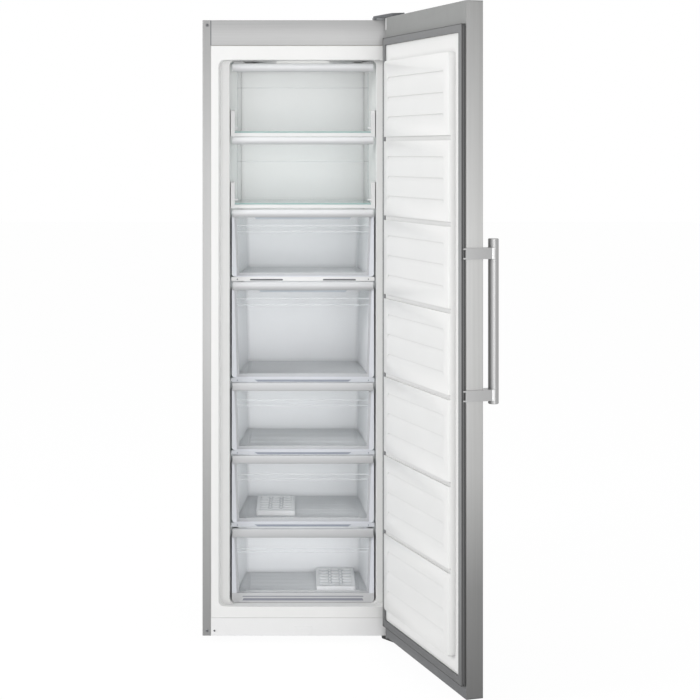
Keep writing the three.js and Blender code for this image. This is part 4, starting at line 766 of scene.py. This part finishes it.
def tray_slat(x0, x1, y0, y1, deck):
    return loft("z", [(deck - 0.5, rounded_rect(x0, x1, y0, y1, 3)),
                      (deck + 1.2, rounded_rect(x0 + 0.5, x1 - 0.5, y0 + 0.5, y1 - 0.5, 3)),
                      (deck + 1.6, rounded_rect(x0 + 1.2, x1 - 1.2, y0 + 1.5, y1 - 1.5, 2.5))])


def tray_ring(x, y, reach, deck):
    """An oval groove in the tray's deck, and the raised plug inside it."""
    outer = oval(x, y, RING_HALF, reach, 20)
    inner = oval(x, y, RING_HALF * 0.66, reach * 0.76, 20)
    crown = oval(x, y, RING_HALF * 0.56, reach * 0.68, 20)
    ring = loft("z", [(deck - 0.5, outer), (deck + 0.5, outer), (deck + 0.7, inner), (deck + 0.2, inner)])
    plug = loft("z", [(deck - 0.4, inner), (deck + 1.2, inner), (deck + 1.5, crown)])
    return ring, plug


def make_tray(node, body):
    """A lidded tray: rows of slats in columns, and a chain of oval rings between the columns."""
    low, high = span(node)

    def plan(inset, corner):
        return rounded_rect(low.x + inset, high.x - inset, low.y + inset, high.y - inset, corner)

    deck = high.z - 1.6
    case = loft("z", [(low.z, plan(1.5, 4)), (low.z + 1.5, plan(0.2, 5)), (deck - 1.2, plan(0.2, 5)),
                      (deck, plan(1.4, 4))])
    left, front, rear = low.x + TRAY_MARGIN_X, low.y + TRAY_MARGIN_FRONT, high.y - TRAY_MARGIN_REAR
    across = (high.x - TRAY_MARGIN_X - left) / TRAY_COLUMNS
    along = (rear - front) / TRAY_ROWS
    slats, gaps, rings = [], [], []
    for column in range(TRAY_COLUMNS):
        x = left + across * column
        begin = x + (2 if column == 0 else RING_GAP)
        end = x + across - (2 if column == TRAY_COLUMNS - 1 else RING_GAP)
        gaps.append(prism("z", rounded_rect(begin, end, front + 1, rear - 1, 3), deck - 0.5, deck + 0.15))
        for row in range(TRAY_ROWS):
            y = front + along * row
            slats.append(tray_slat(begin, end, y + 5, y + along - 5, deck))
    for column in range(1, TRAY_COLUMNS):
        for row in range(1, TRAY_ROWS):
            ring, plug = tray_ring(left + across * column, front + along * row, along * 0.5, deck)
            rings.append(ring)
            slats.append(plug)
    piece(f"{node}_case", join(case, *slats), TRAY, body, edge=0.4, replaces=node)
    # The deck between the slats and the rings' grooves get a darker grey, painted shade.
    piece(f"{node}_gaps", join(*gaps, *rings), TRAY_GAP_SHADE, body)


# ---------- Door and outside ----------
GASKET_FOLDS = ((31.5, 36.2), (37.4, 42))       # behind the hinge pin, with the door closed


def make_gasket_folds():
    """The seal's two folded bellows round its outer side, in a dark rubber that paints the shadow there."""
    low, high = span("door_gasket", DOOR)
    left, right, bottom, top = low.x - 0.3, high.x + 0.3, low.z - 0.3, high.z + 0.3
    bands = []
    for y0, y1 in GASKET_FOLDS:
        bands += [block(left, left + 1, y0, y1, bottom, top), block(right - 1, right, y0, y1, bottom, top),
                  block(left + 1, right - 1, y0, y1, bottom, bottom + 1),
                  block(left + 1, right - 1, y0, y1, top - 1, top)]
    piece("gasket_folds", join(*bands), FOLD_SHADOW_RUBBER, "door", space=DOOR)


def screw(x, z, radius, front):
    """Pan head, standing on a surface that faces the front."""
    return disc("y", x, z, [(front + 1, radius), (front - 0.6, radius), (front - 1.6, radius * 0.8),
                            (front - 2, radius * 0.45)])


def cross_recess_shade(x, z, size, front):
    """A dark cross, a little proud of a screw's head, that paints the shade in its cross recess."""
    return join(block(x - size, x + size, front - 2.2, front, z - size / 4, z + size / 4),
                block(x - size / 4, x + size / 4, front - 2.2, front, z - size, z + size))


PLINTH_SCREW = (-262, 35)


def make_screws():
    """Screws in the left side panel's front strip and in the plinth cover."""
    low, high = span("left_side_panel")
    strip = low.x + 14
    places = [(strip, low.z + 15, 5.2, 3), (strip, high.z - 15, 5.2, 3), (*PLINTH_SCREW, 3.4, 2)]
    heads = [screw(x, z, radius, low.y) for x, z, radius, size in places]
    recess_shades = [cross_recess_shade(x, z, size, low.y) for x, z, radius, size in places]
    piece("front_screws", join(*heads), SCREW, "cabinet")
    piece("front_screw_recess_shades", join(*recess_shades), BLACK_PLASTIC, "cabinet")


def make_rail_shadows_and_lip():
    """Dark strips beside the top front rail that paint the shadow in the gaps there, and the pale end lip of
    the door's top cap.
    """
    low, high = span("top_front_rail")
    gap_shadows = [block(x - 1.2, x + 1.2, low.y - 0.15, low.y + 1, low.z, high.z - 1)
             for x in (low.x - 0.4, high.x + 0.4)]
    piece("rail_gap_shadows", join(*gap_shadows), DARK_PLASTIC, "cabinet")
    low, high = span("door_top_cap", DOOR)
    lip = block(high.x - 7, high.x - 3, high.y - 0.5, high.y + 1.2, high.z - 36, high.z - 2)
    piece("top_cap_lip", lip, WHITE, "door", space=DOOR, edge=0.4)


def make_glass_edges():
    """The green polished front edges of the two shelves that show behind the flaps."""
    for number in (1, 2):
        low, high = span(f"glass_shelf_{number}")
        front = low.y - 0.5
        rear = low.y + 1.2
        section = [(front, low.z + 0.6), (front, high.z - 0.6), (low.y + 0.1, high.z), (rear, high.z),
                   (rear, low.z), (low.y + 0.1, low.z)]
        piece(f"glass_edge_{number}", prism("x", section, low.x + 4, high.x - 4), GLASS_EDGE, "cabinet")


def make_bracket_ends():
    """Where each handle bracket's strap is folded round towards the bar, in a lighter steel that paints the
    highlight on the folded end.
    """
    for name in ("upper", "lower"):
        low, high = span(f"{name}_handle_bracket", DOOR)
        turn = [(low.x - 0.2, low.y + 9), (low.x - 0.7, low.y + 7), (low.x - 0.7, low.y + 1.5),
                (low.x + 1.2, low.y - 0.5), (low.x + 12, low.y - 0.5), (low.x + 12, low.y + 9)]
        piece(f"{name}_bracket_end", prism("z", turn, low.z - 0.2, high.z + 0.2), BRACKET_END_HIGHLIGHT_STEEL, "door",
              space=DOOR, edge=0.6)


def tube(name, points, radius):
    """A bent copper pipe along a smooth curve that the points steer."""
    data = bpy.data.curves.new(name, "CURVE")
    data.dimensions = "3D"
    data.bevel_depth = radius * MM
    data.bevel_resolution = 3
    data.resolution_u = 8
    data.use_fill_caps = True
    spline = data.splines.new("NURBS")
    spline.points.add(len(points) - 1)
    for knot, place in zip(spline.points, points):
        knot.co = (*(CABINET @ Vector(place)), 1)
    spline.order_u = 3
    spline.use_endpoint_u = True
    data.materials.append(COPPER)
    thing = bpy.data.objects.new(name, data)
    bpy.context.scene.collection.objects.link(thing)
    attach(thing, "cabinet")


def make_machine_pipes():
    """Pipes of the machine compartment, between the compressor, the drier and the ceiling above them."""
    ceiling = span("base_frame")[1].z - 0.5
    tube("discharge_pipe", [(-70, 535, 105), (-50, 552, 105), (-30, 562, 108), (-16, 566, 130),
                            (-16, 566, 180), (-16, 566, ceiling)], 2.5)
    tube("suction_pipe", [(-168, 514, 100), (-190, 524, 100), (-212, 534, 102), (-216, 540, 130),
                          (-216, 540, 190), (-216, 540, ceiling)], 3.5)
    low, high = span("filter_drier")
    x, y = (low.x + high.x) / 2, (low.y + high.y) / 2
    tube("condenser_pipe", [(x, y, high.z - 4), (x, y, high.z + 10), (x, y, ceiling)], 2.4)
    tube("capillary_pipe", [(x, y, low.z + 3), (x, y, low.z - 12), (x + 6, y, low.z - 24),
                            (x + 20, y + 2, low.z - 22), (x + 26, y + 5, low.z), (x + 27, y + 6, 150),
                            (x + 27, y + 6, ceiling)], 1.2)


BACK_SCREWS = 7                 # along each edge of the rear panel
BACK_SCREW_END = 25


def make_back_screws():
    """Screws that hold the rear panel along its two long edges."""
    low, high = span("back_panel")
    rear = high.y
    profile = [(rear - 1, 4.2), (rear + 0.5, 4.2), (rear + 0.9, 3.2), (rear + 0.9, 1.6), (rear - 0.2, 1.4)]
    bottom, top = low.z + BACK_SCREW_END, high.z - BACK_SCREW_END
    heads = []
    for x in (low.x + 8, high.x - 8):
        for row in range(BACK_SCREWS):
            z = bottom + (top - bottom) * row / (BACK_SCREWS - 1)
            heads.append(disc("y", x, z, profile, 20))
    piece("back_screws", join(*heads), SCREW, "cabinet")


# ---------- Floor and light ----------
def background_rays(nodes, links):
    """1 for the rays that show the background: the camera's, and those that metal and glass send on."""
    rays = nodes.new("ShaderNodeLightPath")
    shown = rays.outputs["Is Camera Ray"]
    for kind in ("Is Glossy Ray", "Is Transmission Ray"):
        either = nodes.new("ShaderNodeMath")
        either.operation = "MAXIMUM"
        links.new(shown, either.inputs[0])
        links.new(rays.outputs[kind], either.inputs[1])
        shown = either.outputs["Value"]
    return shown


FLOOR_WHITE = 1.04              # strength of the white that the background's rays see
FLOOR_SHARE = 0.92              # of that white, so that the rest keeps the object's shadow


def make_floor():
    mesh = bpy.data.meshes.new("floor")
    side = 30.0
    corners = [(-side, -side, 0), (side, -side, 0), (side, side, 0), (-side, side, 0)]
    mesh.from_pydata(corners, [], [(0, 1, 2, 3)])
    floor = bpy.data.objects.new("floor", mesh)
    floor.location.z = -0.0005
    bpy.context.scene.collection.objects.link(floor)
    material = bpy.data.materials.new("floor")
    material.use_nodes = True
    nodes = material.node_tree.nodes
    links = material.node_tree.links
    shader = nodes["Principled BSDF"]
    shader.inputs["Base Color"].default_value = srgb(225)
    shader.inputs["Roughness"].default_value = 0.9
    white = nodes.new("ShaderNodeEmission")
    white.inputs["Color"].default_value = (1, 1, 1, 1)
    white.inputs["Strength"].default_value = FLOOR_WHITE
    share = nodes.new("ShaderNodeMath")
    share.operation = "MULTIPLY"
    share.inputs[1].default_value = FLOOR_SHARE
    links.new(background_rays(nodes, links), share.inputs[0])
    mix = nodes.new("ShaderNodeMixShader")
    links.new(share.outputs["Value"], mix.inputs["Fac"])
    links.new(shader.outputs["BSDF"], mix.inputs[1])
    links.new(white.outputs["Emission"], mix.inputs[2])
    links.new(mix.outputs["Shader"], nodes["Material Output"].inputs["Surface"])
    mesh.materials.append(material)


def make_world():
    world = bpy.data.worlds.new("studio")
    bpy.context.scene.world = world
    world.use_nodes = True
    nodes = world.node_tree.nodes
    links = world.node_tree.links
    soft = nodes["Background"]
    soft.inputs["Color"].default_value = (1, 1, 1, 1)
    soft.inputs["Strength"].default_value = 0.5
    white = nodes.new("ShaderNodeBackground")
    white.inputs["Color"].default_value = (1, 1, 1, 1)
    white.inputs["Strength"].default_value = 1.0
    mix = nodes.new("ShaderNodeMixShader")
    links.new(background_rays(nodes, links), mix.inputs["Fac"])
    links.new(soft.outputs["Background"], mix.inputs[1])
    links.new(white.outputs["Background"], mix.inputs[2])
    links.new(mix.outputs["Shader"], nodes["World Output"].inputs["Surface"])


def soft_box(name, place, target, width, height, watts, spread=180):
    data = bpy.data.lights.new(name, "AREA")
    data.shape = "RECTANGLE"
    data.size = width
    data.size_y = height
    data.energy = watts
    data.spread = math.radians(spread)
    lamp = bpy.data.objects.new(name, data)
    lamp.location = place
    lamp.rotation_euler = (Vector(target) - Vector(place)).to_track_quat("-Z", "Y").to_euler()
    bpy.context.scene.collection.objects.link(lamp)


INSIDE_WATTS = (0.13, 0.14, 0.13, 0.19, 0.21, 0.2, 0.16)     # flap compartments, then drawers
INSIDE_LAMP_Y = 66              # behind a front
INSIDE_TARGET_Y = 440           # near the back wall
INSIDE_LAMP_WIDTH = 0.36        # metres


def make_lights():
    soft_box("front", (-0.2, -5.6, 1.3), (-0.1, 0, 0.9), 3.0, 3.0, 38)
    soft_box("key", (-4.3, -2.3, 2.8), (0.1, -0.2, 0.8), 1.4, 1.4, 100)
    soft_box("fill", (1.75, -5.0, 0.8), (-0.2, 0, 0.6), 1.8, 1.8, 36)
    soft_box("top", (0, 0.6, 4.2), (0, 0, 1.0), 2.5, 2.5, 20)
    floors = [span("glass_shelf_1")[1].z, span("glass_shelf_2")[1].z]
    floors += [span(f"{name}_basket")[0].z for name in drawer_names()]
    tops = [span(name)[1].z for name in ("flap_1", "flap_2", *(f"{name}_front" for name in drawer_names()))]
    for number, (floor, top, watts) in enumerate(zip(floors, tops, INSIDE_WATTS), 1):
        height = top - floor
        middle = CABINET @ Vector((0, INSIDE_LAMP_Y, floor + height * 0.55))
        wall = CABINET @ Vector((0, INSIDE_TARGET_Y, floor + height * 0.65))
        soft_box(f"compartment_{number}", middle, wall, INSIDE_LAMP_WIDTH, height * MM * 0.5, watts, 130)


# ---------- Assembly ----------
make_camera()
make_floor()
make_world()
make_lights()
dress_nodes()
make_flap_front("flap_1", "glass_shelf_1")
make_flap_front("flap_2", "glass_shelf_2")
for name in drawer_names():
    make_drawer_front(name)
make_lowest_frame()
for name in drawer_names():
    make_floor_ribs(name)
for number in range(3, 7):
    make_shelf_strip(number)
make_tray("ice_tray_left", "drawer_4")
make_tray("ice_tray_right", "drawer_5")
make_gasket_folds()
make_screws()
make_rail_shadows_and_lip()
make_glass_edges()
make_bracket_ends()
make_machine_pipes()
make_back_screws()
bpy.context.scene.view_settings.view_transform = "Standard"
